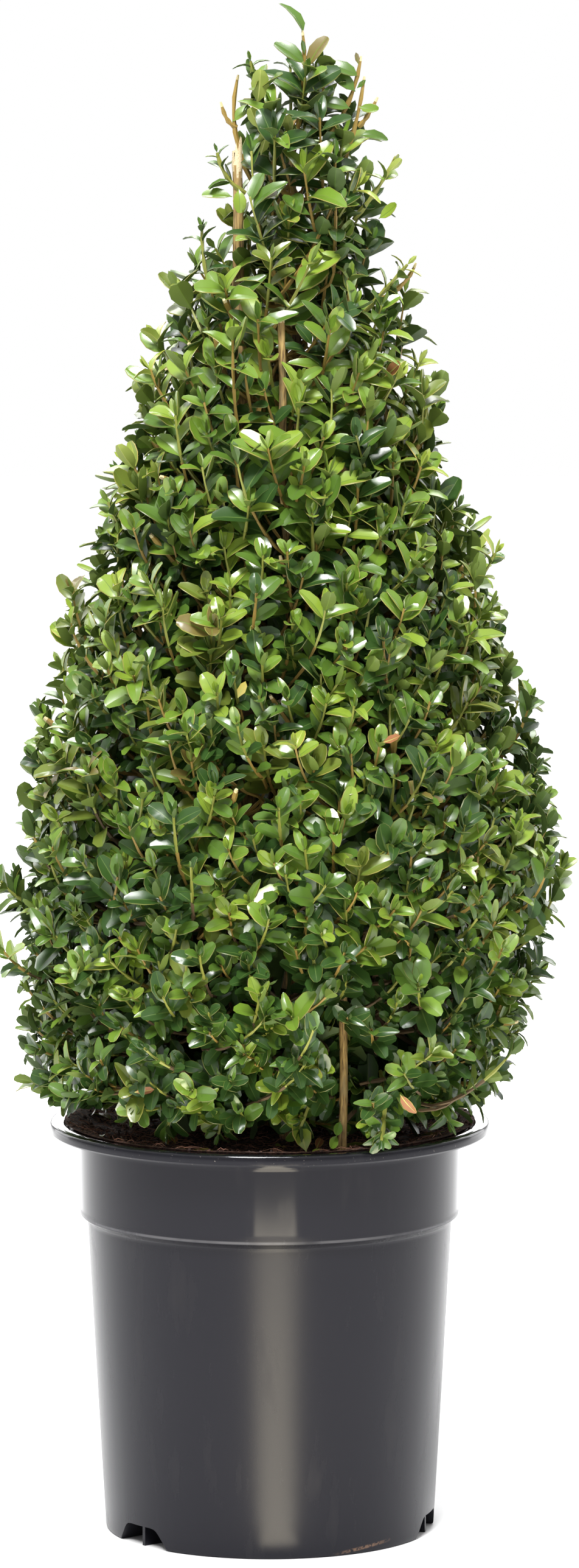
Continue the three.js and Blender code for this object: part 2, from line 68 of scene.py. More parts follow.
# ---- shader maths


class Signal:
    """A socket of a material's nodes, with arithmetic written as Python."""

    def __init__(self, shader: "Shader", socket: NodeSocket) -> None:
        """Wraps an output socket of a shader's tree."""
        self.shader = shader
        self.socket = socket

    def _with(self, operation: str, first: Any, second: Any = 0.0) -> "Signal":
        """A Math node on two values or signals."""
        return self.shader.node("ShaderNodeMath", {"operation": operation}, {0: first, 1: second})

    def __add__(self, other: Any) -> "Signal":
        """self + other."""
        return self._with("ADD", self, other)

    def __sub__(self, other: Any) -> "Signal":
        """self - other."""
        return self._with("SUBTRACT", self, other)

    def __mul__(self, other: Any) -> "Signal":
        """self * other."""
        return self._with("MULTIPLY", self, other)

    def __rsub__(self, other: float) -> "Signal":
        """other - self."""
        return self._with("SUBTRACT", other, self)

    __radd__ = __add__
    __rmul__ = __mul__

    def magnitude(self) -> "Signal":
        """The value without its sign."""
        return self._with("ABSOLUTE", self)

    def between(self, low: float, high: float) -> "Signal":
        """0 at low, 1 at high and smooth in between; low may be above high."""
        limits = {"Value": self, "From Min": low, "From Max": high}
        return self.shader.node("ShaderNodeMapRange", {"interpolation_type": "SMOOTHSTEP"}, limits)


class Shader:
    """A material under construction: its tree and its Principled surface."""

    def __init__(self, name: str) -> None:
        """Starts a material with the given name."""
        self.material = bpy.data.materials.new(name)
        self.material.use_nodes = True
        self.tree = self.material.node_tree
        self.surface = self.tree.nodes["Principled BSDF"]
        self.sheen = 0.5

    def node(
        self, kind: str, settings: dict | None = None, inputs: dict | None = None, output: Any = 0
    ) -> Signal:
        """Adds a node.

        Args:
            kind: the node's type.
            settings: its properties, and "stops" for a ramp's (position, colour) pairs.
            inputs: values or signals for its sockets, by name or number.
            output: the output wanted, by name or number.

        Returns:
            That output as a signal.
        """
        made = self.tree.nodes.new(kind)
        for name, value in (settings or {}).items():
            if name == "stops":
                self._set_stops(made.color_ramp, value)
            else:
                setattr(made, name, value)
        for key, value in (inputs or {}).items():
            self.feed(made.inputs[key], value)
        return Signal(self, made.outputs[output])

    @staticmethod
    def _set_stops(ramp: ColorRamp, stops: Sequence[tuple[float, Colour]]) -> None:
        """Gives a colour ramp its stops."""
        while len(ramp.elements) < len(stops):
            ramp.elements.new(1.0)
        for element, (position, colour) in zip(ramp.elements, stops):
            element.position = position
            element.color = (*colour, 1.0)

    def feed(self, socket: NodeSocket, value: Any) -> None:
        """Links a signal to a socket, or sets the socket's own value."""
        if isinstance(value, Signal):
            self.tree.links.new(value.socket, socket)
        elif isinstance(value, tuple) and socket.type == "RGBA":
            socket.default_value = (*value, 1.0)
        else:
            socket.default_value = value

    def place(self, scale: Colour = (1.0, 1.0, 1.0)) -> Signal:
        """The object's own coordinates, stretched along each axis."""
        here = self.node("ShaderNodeTexCoord", output="Object")
        return self.node("ShaderNodeMapping", {}, {"Vector": here, "Scale": scale})

    def axis(self, name: str) -> Signal:
        """One object coordinate: "X", "Y" or "Z"."""
        here = self.node("ShaderNodeTexCoord", output="Object")
        return self.node("ShaderNodeSeparateXYZ", {}, {0: here}, name)

    def noise(self, scale: float, detail: float = 3.0, stretch: Colour = (1.0, 1.0, 1.0)) -> Signal:
        """Noise from 0 to 1 with so many cells a metre."""
        inputs = {"Vector": self.place(stretch), "Scale": scale, "Detail": detail}
        return self.node("ShaderNodeTexNoise", {}, inputs)

    def blend(self, share: Any, first: Any, second: Any) -> Signal:
        """A mix of two colours: the first where share is 0, the second where it is 1."""
        inputs = {0: share, 6: first, 7: second}
        return self.node("ShaderNodeMix", {"data_type": "RGBA"}, inputs, 2)

    def finish(
        self, colour: Any, roughness: Any, relief: Signal | None = None, depth: float = 0.0
    ) -> Material:
        """Sets the surface.

        Args:
            colour: base colour, a value or a signal.
            roughness: a value or a signal.
            relief: height from 0 to 1 for the bump.
            depth: how far the relief rises, in metres.

        Returns:
            The material.
        """
        self.feed(self.surface.inputs["Base Color"], colour)
        self.feed(self.surface.inputs["Roughness"], roughness)
        self.surface.inputs["Specular IOR Level"].default_value = self.sheen
        if relief is not None:
            bump = self.node("ShaderNodeBump", {}, {"Height": relief, "Distance": depth, "Strength": 1.0})
            self.feed(self.surface.inputs["Normal"], bump)
        return self.material


# ---- finishes


@dataclass(frozen=True)
class LeafFinish:
    """A plain leaf colour: the blade's upper side, with its gloss."""

    name: str
    colour: Colour
    roughness: float = 0.30
    wax: float = 0.42
    wax_roughness: float = 0.19
    sheen: float = 0.65

    def material(self) -> Material:
        """The finish as a material with no pattern."""
        shader = Shader(self.name)
        shader.sheen = self.sheen
        shader.surface.inputs["Coat Weight"].default_value = self.wax
        shader.surface.inputs["Coat Roughness"].default_value = self.wax_roughness
        return shader.finish(self.colour, self.roughness)


@dataclass(frozen=True)
class BarkFinish:
    """Striated tan bark with dark furrows and weathered flakes."""

    pale: Colour = (0.54, 0.37, 0.135)
    tan: Colour = (0.33, 0.210, 0.075)
    furrow: Colour = (0.085, 0.050, 0.020)
    weathered: Colour = (0.28, 0.225, 0.120)
    roughness: float = 0.6
    relief: float = 0.0004

    def material(self) -> Material:
        """The bark's material."""
        shader = Shader("bark")
        strands = shader.noise(900, 4, (1.0, 1.0, 0.12))
        flakes = shader.noise(260, 3, (1.0, 1.0, 0.35))
        stops = [(0.3, self.furrow), (0.47, self.tan), (0.68, self.pale)]
        colour = shader.node("ShaderNodeValToRGB", {"stops": stops}, {0: strands})
        colour = shader.blend(flakes.between(0.52, 0.7) * 0.6, colour, self.weathered)
        rough = flakes.between(0.2, 0.8) * 0.25 + self.roughness
        return shader.finish(colour, rough, strands, self.relief)


@dataclass(frozen=True)
class CutWoodFinish:
    """The cream face of a stem cut with shears."""

    pale: Colour = (0.80, 0.66, 0.42)
    ring: Colour = (0.55, 0.38, 0.19)
    roughness: float = 0.75
    relief: float = 0.0002

    def material(self) -> Material:
        """The cut's material."""
        shader = Shader("cut_wood")
        grain = shader.noise(1400, 3)
        colour = shader.blend(grain.between(0.45, 0.75), self.pale, self.ring)
        return shader.finish(colour, self.roughness, grain, self.relief)


@dataclass(frozen=True)
class PotFinish:
    """Black moulded plastic: a fine stipple, faint scuffs, rim dust, a scrape by the foot and a painted
    highlight line at the collar's lower edge.
    """

    black: Colour = (0.0085, 0.0085, 0.0115)
    scuffed: Colour = (0.022, 0.021, 0.023)
    # Colour of the painted highlight line along the collar's lower edge.
    edge_highlight: Colour = (0.115, 0.115, 0.125)
    dust: Colour = (0.22, 0.20, 0.18)
    scrape: Colour = (0.16, 0.095, 0.06)
    tint: Colour = (0.93, 0.92, 1.0)
    sheen: float = 0.28
    body_roughness: float = 0.23
    collar_drop: float = 0.17
    rim_rise: float = 0.03
    # Height of the painted highlight line.
    highlight_at: float = 0.1931
    collar_height: float = 0.198
    rim_height: float = 0.2395
    crest_height: float = 0.2467
    crest_roughness: float = 0.08
    stipple_depth: float = 0.00004
    scrape_x: float = 0.056
    scrape_z: float = 0.0035

    def material(self) -> Material:
        """The pot's material."""
        shader = Shader("pot_plastic")
        shader.sheen = self.sheen
        shader.surface.inputs["Specular Tint"].default_value = (*self.tint, 1.0)
        height = shader.axis("Z")
        rim = height.between(self.rim_height, self.rim_height + 0.002)
        stipple = shader.noise(2600, 2)
        scuffs = shader.noise(60, 5, (1.0, 1.0, 0.25)).between(0.56, 0.74)
        specks = shader.noise(900, 2).between(0.70, 0.76)
        colour = shader.blend(scuffs * 0.35, self.black, self.scuffed)
        colour = shader.blend(rim * specks * 0.8, colour, self.dust)
        colour = shader.blend(self._scrape(shader), colour, self.scrape)
        # Painted highlight: a pale grey line along the collar's lower edge, broken up by noise, stands in for
        # the light that the step's edge catches.
        edge = (height - self.highlight_at).magnitude().between(0.0011, 0.0004)
        colour = shader.blend(edge * shader.noise(30, 3).between(0.2, 0.6) * 0.7, colour, self.edge_highlight)
        collar = height.between(self.collar_height - 0.003, self.collar_height)
        rough = scuffs * 0.10 + stipple * 0.06 + self.body_roughness - collar * self.collar_drop
        rough = rough + rim * self.rim_rise + rim * specks * 0.4
        crest = height.between(self.crest_height, self.crest_height + 0.0006)
        shader.feed(shader.surface.inputs["Coat Weight"], crest)
        shader.surface.inputs["Coat Roughness"].default_value = self.crest_roughness
        return shader.finish(colour, rough, stipple * (1 - collar * 0.9), self.stipple_depth)

    def _scrape(self, shader: Shader) -> Signal:
        """1 on the thin brown scrape low on the body, and 0 elsewhere."""
        aside = shader.axis("X") - self.scrape_x
        along = aside.magnitude().between(0.020, 0.004)
        across = (shader.axis("Z") - self.scrape_z - aside * 0.12).magnitude().between(0.0014, 0.0004)
        front = shader.axis("Y").between(-0.06, -0.07)
        return along * across * front * shader.noise(700, 3).between(0.38, 0.55)


@dataclass(frozen=True)
class CompostFinish:
    """Moist peat: near black with red-brown fibres and crumbs."""

    dark: Colour = (0.040, 0.022, 0.019)
    brown: Colour = (0.210, 0.110, 0.075)
    fibre: Colour = (0.50, 0.220, 0.130)
    roughness: float = 0.92
    relief: float = 0.0012

    def material(self) -> Material:
        """The compost's material."""
        shader = Shader("compost")
        crumbs = shader.noise(420, 6)
        fibres = shader.noise(1200, 3, (1.0, 0.25, 1.0)).between(0.60, 0.72)
        colour = shader.blend(crumbs.between(0.42, 0.66), self.dark, self.brown)
        colour = shader.blend(fibres * 0.7, colour, self.fibre)
        return shader.finish(colour, self.roughness, crumbs, self.relief)


@dataclass(frozen=True)
class PlainFinish:
    """A thin or tiny piece's plain colour."""

    name: str
    colour: Colour
    roughness: float = 0.6

    def material(self) -> Material:
        """The finish as a material with no pattern."""
        return Shader(self.name).finish(self.colour, self.roughness)


class Tone(IntEnum):
    """The colours that sprays of leaves are dealt, in the order of their ages; low and deep in the crown the
    darker ones also serve as painted shade.
    """

    DEEP = 0
    DARK = 1
    MID = 2
    FRESH = 3
    OLIVE = 4
    BRONZE = 5
    LIME = 6
    STRAW = 7
    DRY = 8


class LeafPart(IntEnum):
    """The parts of a leaf that have a colour of their own."""

    BLADE = 0
    RIB = 1
    UNDERSIDE = 2
    MARGIN = 3


BLADES = {
    Tone.DEEP: LeafFinish("leaf_deep", (0.032, 0.078, 0.015), wax=0.42, sheen=0.45),
    Tone.DARK: LeafFinish("leaf_dark", (0.088, 0.173, 0.022), wax=0.44, sheen=0.65),
    Tone.MID: LeafFinish("leaf_mid", (0.156, 0.267, 0.028), wax=0.46, sheen=0.8),
    Tone.FRESH: LeafFinish("leaf_fresh", (0.236, 0.344, 0.036), wax=0.46, sheen=0.8),
    Tone.OLIVE: LeafFinish("leaf_olive", (0.150, 0.196, 0.028)),
    Tone.BRONZE: LeafFinish("leaf_bronze", (0.175, 0.138, 0.034), 0.40, 0.2),
    Tone.LIME: LeafFinish("leaf_lime", (0.300, 0.388, 0.050)),
    Tone.STRAW: LeafFinish("leaf_straw", (0.520, 0.430, 0.090), 0.40, 0.1),
    Tone.DRY: LeafFinish("leaf_dry", (0.330, 0.135, 0.050), 0.55, 0.1),
}


@dataclass(frozen=True)
class Age:
    """The colours of ribs, margins and undersides that the tones from one on share."""

    name: str
    first: Tone
    rib: Colour
    margin: Colour
    underside: Colour

    def finishes(self) -> dict[LeafPart, LeafFinish]:
        """The finish of each part but the blade, without wax."""
        return {
            LeafPart.RIB: LeafFinish(f"rib_{self.name}", self.rib, 0.42, 0.0, sheen=0.5),
            LeafPart.MARGIN: LeafFinish(f"margin_{self.name}", self.margin, 0.40, 0.0, sheen=0.5),
            LeafPart.UNDERSIDE: LeafFinish(f"underside_{self.name}", self.underside, 0.55, 0.0, sheen=0.4),
        }


AGES = (
    Age("old", Tone.DEEP, (0.085, 0.150, 0.030), (0.120, 0.140, 0.028), (0.064, 0.108, 0.025)),
    Age("ripe", Tone.MID, (0.150, 0.230, 0.034), (0.260, 0.250, 0.050), (0.128, 0.186, 0.034)),
    Age("young", Tone.LIME, (0.480, 0.510, 0.130), (0.520, 0.400, 0.100), (0.300, 0.365, 0.070)),
)


class Wood(IntEnum):
    """The ages of a twig, from a green shoot to a woody branch."""

    SHOOT = 0
    TWIG = 1
    BRANCH = 2
    FIBRE = 3
    CUT = 4


WOODS = {
    Wood.SHOOT: PlainFinish("shoot_green", (0.260, 0.275, 0.050), 0.5),
    Wood.TWIG: PlainFinish("twig_tan", (0.310, 0.205, 0.045), 0.6),
    Wood.BRANCH: PlainFinish("branch_brown", (0.110, 0.072, 0.034), 0.75),
    Wood.FIBRE: PlainFinish("root_fibre", (0.360, 0.175, 0.115), 0.8),
    Wood.CUT: PlainFinish("cut_twig", (0.720, 0.600, 0.330), 0.7),
}


# ---- mesh helpers


def length(vector: Vector3) -> float:
    """A vector's length."""
    return float(np.linalg.norm(vector))


def unit(vector: Vector3) -> Vector3:
    """A vector scaled to length 1."""
    return vector / max(1e-9, length(vector))


def turned_about(vector: Vector3, axis: Vector3, angle: float) -> Vector3:
    """A vector turned about a unit axis, in radians."""
    cosine, sine = math.cos(angle), math.sin(angle)
    return vector * cosine + np.cross(axis, vector) * sine + axis * float(np.dot(axis, vector)) * (1 - cosine)


def bend(start: Vector3, control: Vector3, end: Vector3, t: float) -> Vector3:
    """A point of a curve from start to end that leans towards a control point."""
    return start * (1 - t) ** 2 + control * 2 * t * (1 - t) + end * t**2


def on_bearing(azimuth: float, radius: float, height: float) -> Vector3:
    """A point at a bearing from the front, towards the right."""
    return np.array([math.sin(azimuth) * radius, -math.cos(azimuth) * radius, height])


def linked(name: str, data: Any) -> Object:
    """A new object in the scene that holds the given mesh, light or camera."""
    made = bpy.data.objects.new(name, data)
    bpy.context.scene.collection.objects.link(made)
    return made


def new_object(name: str, points: Any, faces: Any, edges: Any = ()) -> Object:
    """A mesh object at the origin from points, faces and edges."""
    mesh = bpy.data.meshes.new(name)
    mesh.from_pydata([tuple(map(float, point)) for point in points], list(edges), list(faces))
    mesh.update()
    return linked(name, mesh)


def discard(*objects: Object) -> None:
    """Removes objects that only helped to make others."""
    for one in objects:
        bpy.data.objects.remove(one, do_unlink=True)


def evaluated_copy(source: Object, name: str) -> Object:
    """A plain mesh object of what a source's modifiers make of it; the source is removed."""
    bpy.context.view_layer.update()
    graph = bpy.context.evaluated_depsgraph_get()
    mesh = bpy.data.meshes.new_from_object(source.evaluated_get(graph), depsgraph=graph)
    mesh.name = name
    discard(source)
    return linked(name, mesh)


def combined(target: Object, tool: Object, operation: str) -> Object:
    """The Boolean of two closed meshes as a new object; both of them are removed."""
    modifier = target.modifiers.new("cut", "BOOLEAN")
    modifier.operation = operation
    modifier.solver = "EXACT"
    modifier.object = tool
    name = target.name
    target.name = name + "_before"
    made = evaluated_copy(target, name)
    discard(tool)
    return made


def tube_faces(rings: int, sides: int) -> list[tuple[int, ...]]:
    """The faces of a closed tube.

    Args:
        rings: how many rings of points it has, from one end to the other.
        sides: points in a ring. The middles of the first and of the last ring follow the rings.

    Returns:
        The sides ring by ring, then both ends.
    """
    faces: list[tuple[int, ...]] = []
    for base in range(0, (rings - 1) * sides, sides):
        for i in range(sides):
            j = (i + 1) % sides
            faces.append((base + i, base + j, base + sides + j, base + sides + i))
    first, top = rings * sides, (rings - 1) * sides
    faces += [(first, (i + 1) % sides, i) for i in range(sides)]
    faces += [(first + 1, top + i, top + (i + 1) % sides) for i in range(sides)]
    return faces


def lathe(name: str, profile: Sequence[Pair], sides: int) -> Object:
    """A closed solid of revolution about +Z.

    Args:
        name: the object's name.
        profile: (radius, height) pairs that start and end on the axis, with the solid on their left.
        sides: faces round.

    Returns:
        The object.
    """
    rings = [pair for pair in profile if pair[0] > 0]
    angles = np.linspace(0, math.tau, sides, endpoint=False)
    points = [(r * math.cos(a), r * math.sin(a), z) for r, z in rings for a in angles]
    points += [(0.0, 0.0, profile[0][1]), (0.0, 0.0, profile[-1][1])]
    return new_object(name, points, tube_faces(len(rings), sides))


def set_numbers(mesh: Mesh, name: str, kind: str, domain: str, values: Sequence[Any]) -> None:
    """Writes an attribute onto a mesh."""
    attribute = mesh.attributes.new(name, kind, domain)
    key = "vector" if kind == "FLOAT_VECTOR" else "value"
    attribute.data.foreach_set(key, np.asarray(values).ravel())


def smooth(piece: Object, sharp_over: float | None = None) -> None:
    """Shades a piece smooth, with edges over an angle in degrees kept sharp."""
    piece.data.shade_smooth()
    if sharp_over is not None:
        piece.data.set_sharp_from_angle(angle=math.radians(sharp_over))


def hand_over(piece: Object, slot: str, *nodes: str) -> None:
    """Puts a finished piece on the plant's body and hides the nodes that it replaces."""
    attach(piece, "root")
    if nodes:
        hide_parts(*nodes)
    piece.data.calc_loop_triangles()
    LOG.info("%s: %d triangles", piece.name, len(piece.data.loop_triangles))


# ---- geometry node trees


class Tree:
    """A Geometry Nodes tree under construction."""

    def __init__(self, name: str) -> None:
        """Starts a tree with a geometry input and output."""
        self.group = bpy.data.node_groups.new(name, "GeometryNodeTree")
        self.input_geometry = self._socket("Geometry", "INPUT", "NodeSocketGeometry")
        self._socket("Geometry", "OUTPUT", "NodeSocketGeometry")
        self.start = self.group.nodes.new("NodeGroupInput")
        self.end = self.group.nodes.new("NodeGroupOutput")
        self.identifiers: dict[str, str] = {}

    def _socket(self, name: str, side: str, kind: str) -> Any:
        """Adds a socket to the tree's interface."""
        return self.group.interface.new_socket(name, in_out=side, socket_type=kind)

    def named_input(self, name: str, kind: str) -> NodeSocket:
        """Adds a named input and returns its socket inside the tree."""
        made = self._socket(name, "INPUT", kind)
        self.identifiers[name] = made.identifier
        return next(socket for socket in self.start.outputs if socket.identifier == made.identifier)

    def node(self, kind: str, settings: dict | None = None, inputs: dict | None = None) -> Node:
        """Adds a node with its settings, and values or links for its sockets."""
        made = self.group.nodes.new(kind)
        for name, value in (settings or {}).items():
            setattr(made, name, value)
        for key, value in (inputs or {}).items():
            self._feed(made.inputs[key], value)
        return made

    def _feed(self, socket: NodeSocket, value: Any) -> None:
        """Links a socket to another, or sets its own value."""
        if isinstance(value, NodeSocket):
            self.group.links.new(value, socket)
        else:
            socket.default_value = value

    def random_number(self, low: Any, high: Any, seed: NodeSocket) -> NodeSocket:
        """A random number for each point, between two values or sockets."""
        made = self.node("FunctionNodeRandomValue", {"data_type": "FLOAT"}, {"Seed": seed})
        for socket, value in zip([one for one in made.inputs if one.type == "VALUE"], (low, high)):
            self._feed(socket, value)
        return next(one for one in made.outputs if one.type == "VALUE")

    def product(self, first: NodeSocket, second: NodeSocket) -> NodeSocket:
        """Two numbers multiplied."""
        return self.node("ShaderNodeMath", {"operation": "MULTIPLY"}, {0: first, 1: second}).outputs[0]

    def attribute(self, name: str, kind: str) -> NodeSocket:
        """Reads a named attribute of the geometry."""
        made = self.node("GeometryNodeInputNamedAttribute", {"data_type": kind}, {"Name": name})
        return made.outputs["Attribute"]

    def _compared(self, operation: str, value: NodeSocket, number: int) -> NodeSocket:
        """True where a whole number compares with another as the operation says."""
        made = self.node("FunctionNodeCompare", {"data_type": "INT", "operation": operation})
        a, b = [socket for socket in made.inputs if socket.type == "INT"][:2]
        self.group.links.new(value, a)
        b.default_value = number
        return made.outputs[0]

    def equals(self, value: NodeSocket, number: int) -> NodeSocket:
        """True where a whole number has the given value."""
        return self._compared("EQUAL", value, number)

    def at_least(self, value: NodeSocket, number: int) -> NodeSocket:
        """True where a whole number has the given value or more."""
        return self._compared("GREATER_EQUAL", value, number)

    def both(self, first: NodeSocket, second: NodeSocket) -> NodeSocket:
        """True where both are."""
        return self.node("FunctionNodeBooleanMath", {"operation": "AND"}, {0: first, 1: second}).outputs[0]

    def finish(self, geometry: NodeSocket, dealt: Sequence[tuple[Any, Material]]) -> None:
        """Ends the tree: realizes instances and deals each material to its faces."""
        realized = self.node("GeometryNodeRealizeInstances", {}, {"Geometry": geometry}).outputs[0]
        for selection, material in dealt:
            inputs = {"Geometry": realized, "Material": material}
            if selection is not None:
                inputs["Selection"] = selection
            realized = self.node("GeometryNodeSetMaterial", {}, inputs).outputs[0]
        self.group.links.new(realized, self.end.inputs[0])

    def apply(self, source: Object, name: str, values: dict[str, Any]) -> Object:
        """The plain mesh that the tree makes of a source with the given input values."""
        modifier = source.modifiers.new("grow", "NODES")
        modifier.node_group = self.group
        for key, value in values.items():
            modifier[self.identifiers[key]] = value
        return evaluated_copy(source, name)


# ---- leaves


@dataclass
class LeafMesh:
    """A leaf's mesh while it is built: its points and faces, and the part of each face."""

    points: list[Place] = field(default_factory=list)
    faces: list[tuple[int, ...]] = field(default_factory=list)
    parts: list[int] = field(default_factory=list)

    def row(self, *places: Place) -> list[int]:
        """Adds points and returns their numbers."""
        self.points.extend(places)
        return list(range(len(self.points) - len(places), len(self.points)))

    def skin(self, rows: Sequence[Sequence[int]], across: Sequence[LeafPart]) -> None:
        """Adds the faces between neighbouring rows; a face's equal corners become one.

        Args:
            rows: point numbers from side to side, as many in each row.
            across: the parts of the faces from side to side.
        """
        for here, there in zip(rows[:-1], rows[1:]):
            for i, part in enumerate(across):
                corners = dict.fromkeys((here[i], there[i], there[i + 1], here[i + 1]))
                if len(corners) > 2:
                    self.faces.append(tuple(corners))
                    self.parts.append(int(part))


@dataclass(frozen=True)
class LeafShape:
    """A leaf one unit long: its outline, fold and curl."""

    name: str
    width: float = 0.54
    fullest: float = 1.25
    fold: float = 12.0
    arch: float = 14.0
    twist: float = 0.0
    notch: float = 0.02
    thickness: float = 0.016
    petiole: float = 0.06
    half_stalk: float = 0.018
    half_rib: float = 0.022
    half_keel: float = 0.020
    margin: float = 0.91
    recurve: float = 0.09
    fullness: float = 0.56
    stations: tuple[float, ...] = (0.06, 0.26, 0.52, 0.79, 0.95)
    plain: bool = False

    def half_width(self, along: float) -> float:
        """Half the blade's width at a share of its length."""
        blade = max(0.0, (along - self.petiole) / (1 - self.petiole))
        return self.half_rib + 0.5 * self.width * math.sin(math.pi * blade**self.fullest) ** self.fullness

    def _bent(self, along: float, across: float, lift: float) -> Place:
        """Where a point of the flat blade goes with the arch along it and the twist about it.

        Args:
            along: the point's share of the length.
            across: how far it is from the midrib.
            lift: how far it is above the blade.

        Returns:
            The point.
        """
        angle = math.radians(self.arch) * (along - 0.25)
        turn = math.radians(self.twist) * along
        y = across * math.cos(turn) - lift * math.sin(turn)
        z = across * math.sin(turn) + lift * math.cos(turn)
        return (along * math.cos(angle * 0.5) + z * math.sin(angle), y, z - along * math.sin(angle))

    def _section(self, along: float, margins: bool) -> list[Place]:
        """The upper surface across the blade.

        Args:
            along: the section's share of the length.
            margins: whether it has a point where each margin starts.

        Returns:
            The points from the left edge to the right.
        """
        half = self.half_width(along)
        rib = min(self.half_rib * (1.15 - along), half * 0.6)
        rise = math.tan(math.radians(self.fold))
        shares = (1.0, self.margin, 0.0) if margins else (1.0, 0.0)
        right = []
        for share in shares:
            across = rib + (half - rib) * share
            drop = self.recurve * half if margins and share == 1.0 else 0.0
            right.append((across, rise * across - drop))
        left = [self._bent(along, -y, z) for y, z in right]
        return left + [self._bent(along, y, z) for y, z in right[::-1]]

    def _keel(self, along: float) -> list[Place]:
        """The underside's middle at a share of the length: its rib's two edges, or one point."""
        rib = min(self.half_keel * (1.1 - along), 0.5 * self.half_width(along))
        return [self._bent(along, y, -self.thickness) for y in ((0.0,) if self.plain else (-rib, rib))]

    def build(self) -> Object:
        """The leaf as a thin closed mesh whose faces carry their part's number.

        Returns:
            The leaf, from its stalk's foot at the origin along +X.
        """
        mesh = LeafMesh()
        stalk = mesh.row(self._bent(0, -self.half_stalk, 0), self._bent(0, self.half_stalk, 0))
        rows = [mesh.row(*self._section(at, i > 0 and not self.plain)) for i, at in enumerate(self.stations)]
        keels = [mesh.row(*self._keel(at)) for at in self.stations]
        tip = mesh.row(self._bent(1 - self.notch, 0, 0.01))
        foot = [stalk[0], stalk[0], stalk[1], stalk[1]]
        across = [LeafPart.BLADE, LeafPart.RIB, LeafPart.BLADE]
        mesh.skin([foot, rows[0]], across)
        if not self.plain:
            rows[0] = [rows[0][0], *rows[0], rows[0][-1]]
            across = [LeafPart.MARGIN, *across, LeafPart.MARGIN]
        mesh.skin([*rows, tip * len(rows[0])], across)
        below = [[row[-1], keel[-1], keel[0], row[0]] for row, keel in zip(rows, keels)]
        mesh.skin([foot[::-1], *below, tip * 4], [LeafPart.UNDERSIDE, LeafPart.RIB, LeafPart.UNDERSIDE])
        made = new_object(self.name, mesh.points, mesh.faces)
        set_numbers(made.data, "part", "INT", "FACE", mesh.parts)
        smooth(made, 50)
        for side in (0, -1):
            line = {stalk[side], *(keel[side] for keel in keels), *tip}
            for edge in made.data.edges:
                edge.use_edge_sharp = edge.use_edge_sharp or set(edge.vertices) <= line
        return made


class Shape(IntEnum):
    """The leaf shapes that points pick from."""

    OVAL = 0
    BROAD = 1
    LANCE = 2
    CUPPED = 3
    BUD = 4
    INNER = 5


LEAF_SHAPES = {
    Shape.OVAL: LeafShape("leaf_oval", 0.47, 1.12, 20, 18, 8),
    Shape.BROAD: LeafShape("leaf_broad", 0.54, 1.24, 16, 26, -10, 0.03),
    Shape.LANCE: LeafShape("leaf_lance", 0.38, 0.98, 23, 46, 12, 0.0, fullness=0.76),
    Shape.CUPPED: LeafShape("leaf_cupped", 0.47, 1.12, 25, -20, -8),
    Shape.BUD: LeafShape(
        "leaf_bud", 0.38, 1.05, 26, -14, 0, 0.0, fullness=0.75, stations=(0.08, 0.42, 0.80), plain=True
    ),
    Shape.INNER: LeafShape(
        "leaf_inner", 0.49, 1.12, 20, 14, 0, stations=(0.07, 0.36, 0.70, 0.94), plain=True
    ),
}


@dataclass
class LeafCloud:
    """The leaves of one piece, gathered before they are grown."""

    roots: list[Vector3] = field(default_factory=list)
    turns: list[tuple[float, float, float]] = field(default_factory=list)
    sizes: list[float] = field(default_factory=list)
    shapes: list[int] = field(default_factory=list)
    tones: list[int] = field(default_factory=list)

    def add(
        self, root: Vector3, along: Vector3, facing: Vector3, size: float, shape: Shape, tone: Tone
    ) -> None:
        """Adds a leaf.

        Args:
            root: the foot of its stalk.
            along: the way it points.
            facing: roughly the way its upper side looks.
            size: its length.
            shape: its shape.
            tone: its colour.
        """
        x = unit(along)
        y = unit(np.cross(facing, x))
        z = np.cross(x, y)
        angles = (math.atan2(y[2], z[2]), -math.asin(float(np.clip(x[2], -1, 1))), math.atan2(x[1], x[0]))
        self.roots.append(root)
        self.turns.append(angles)
        self.sizes.append(size)
        self.shapes.append(int(shape))
        self.tones.append(int(tone))


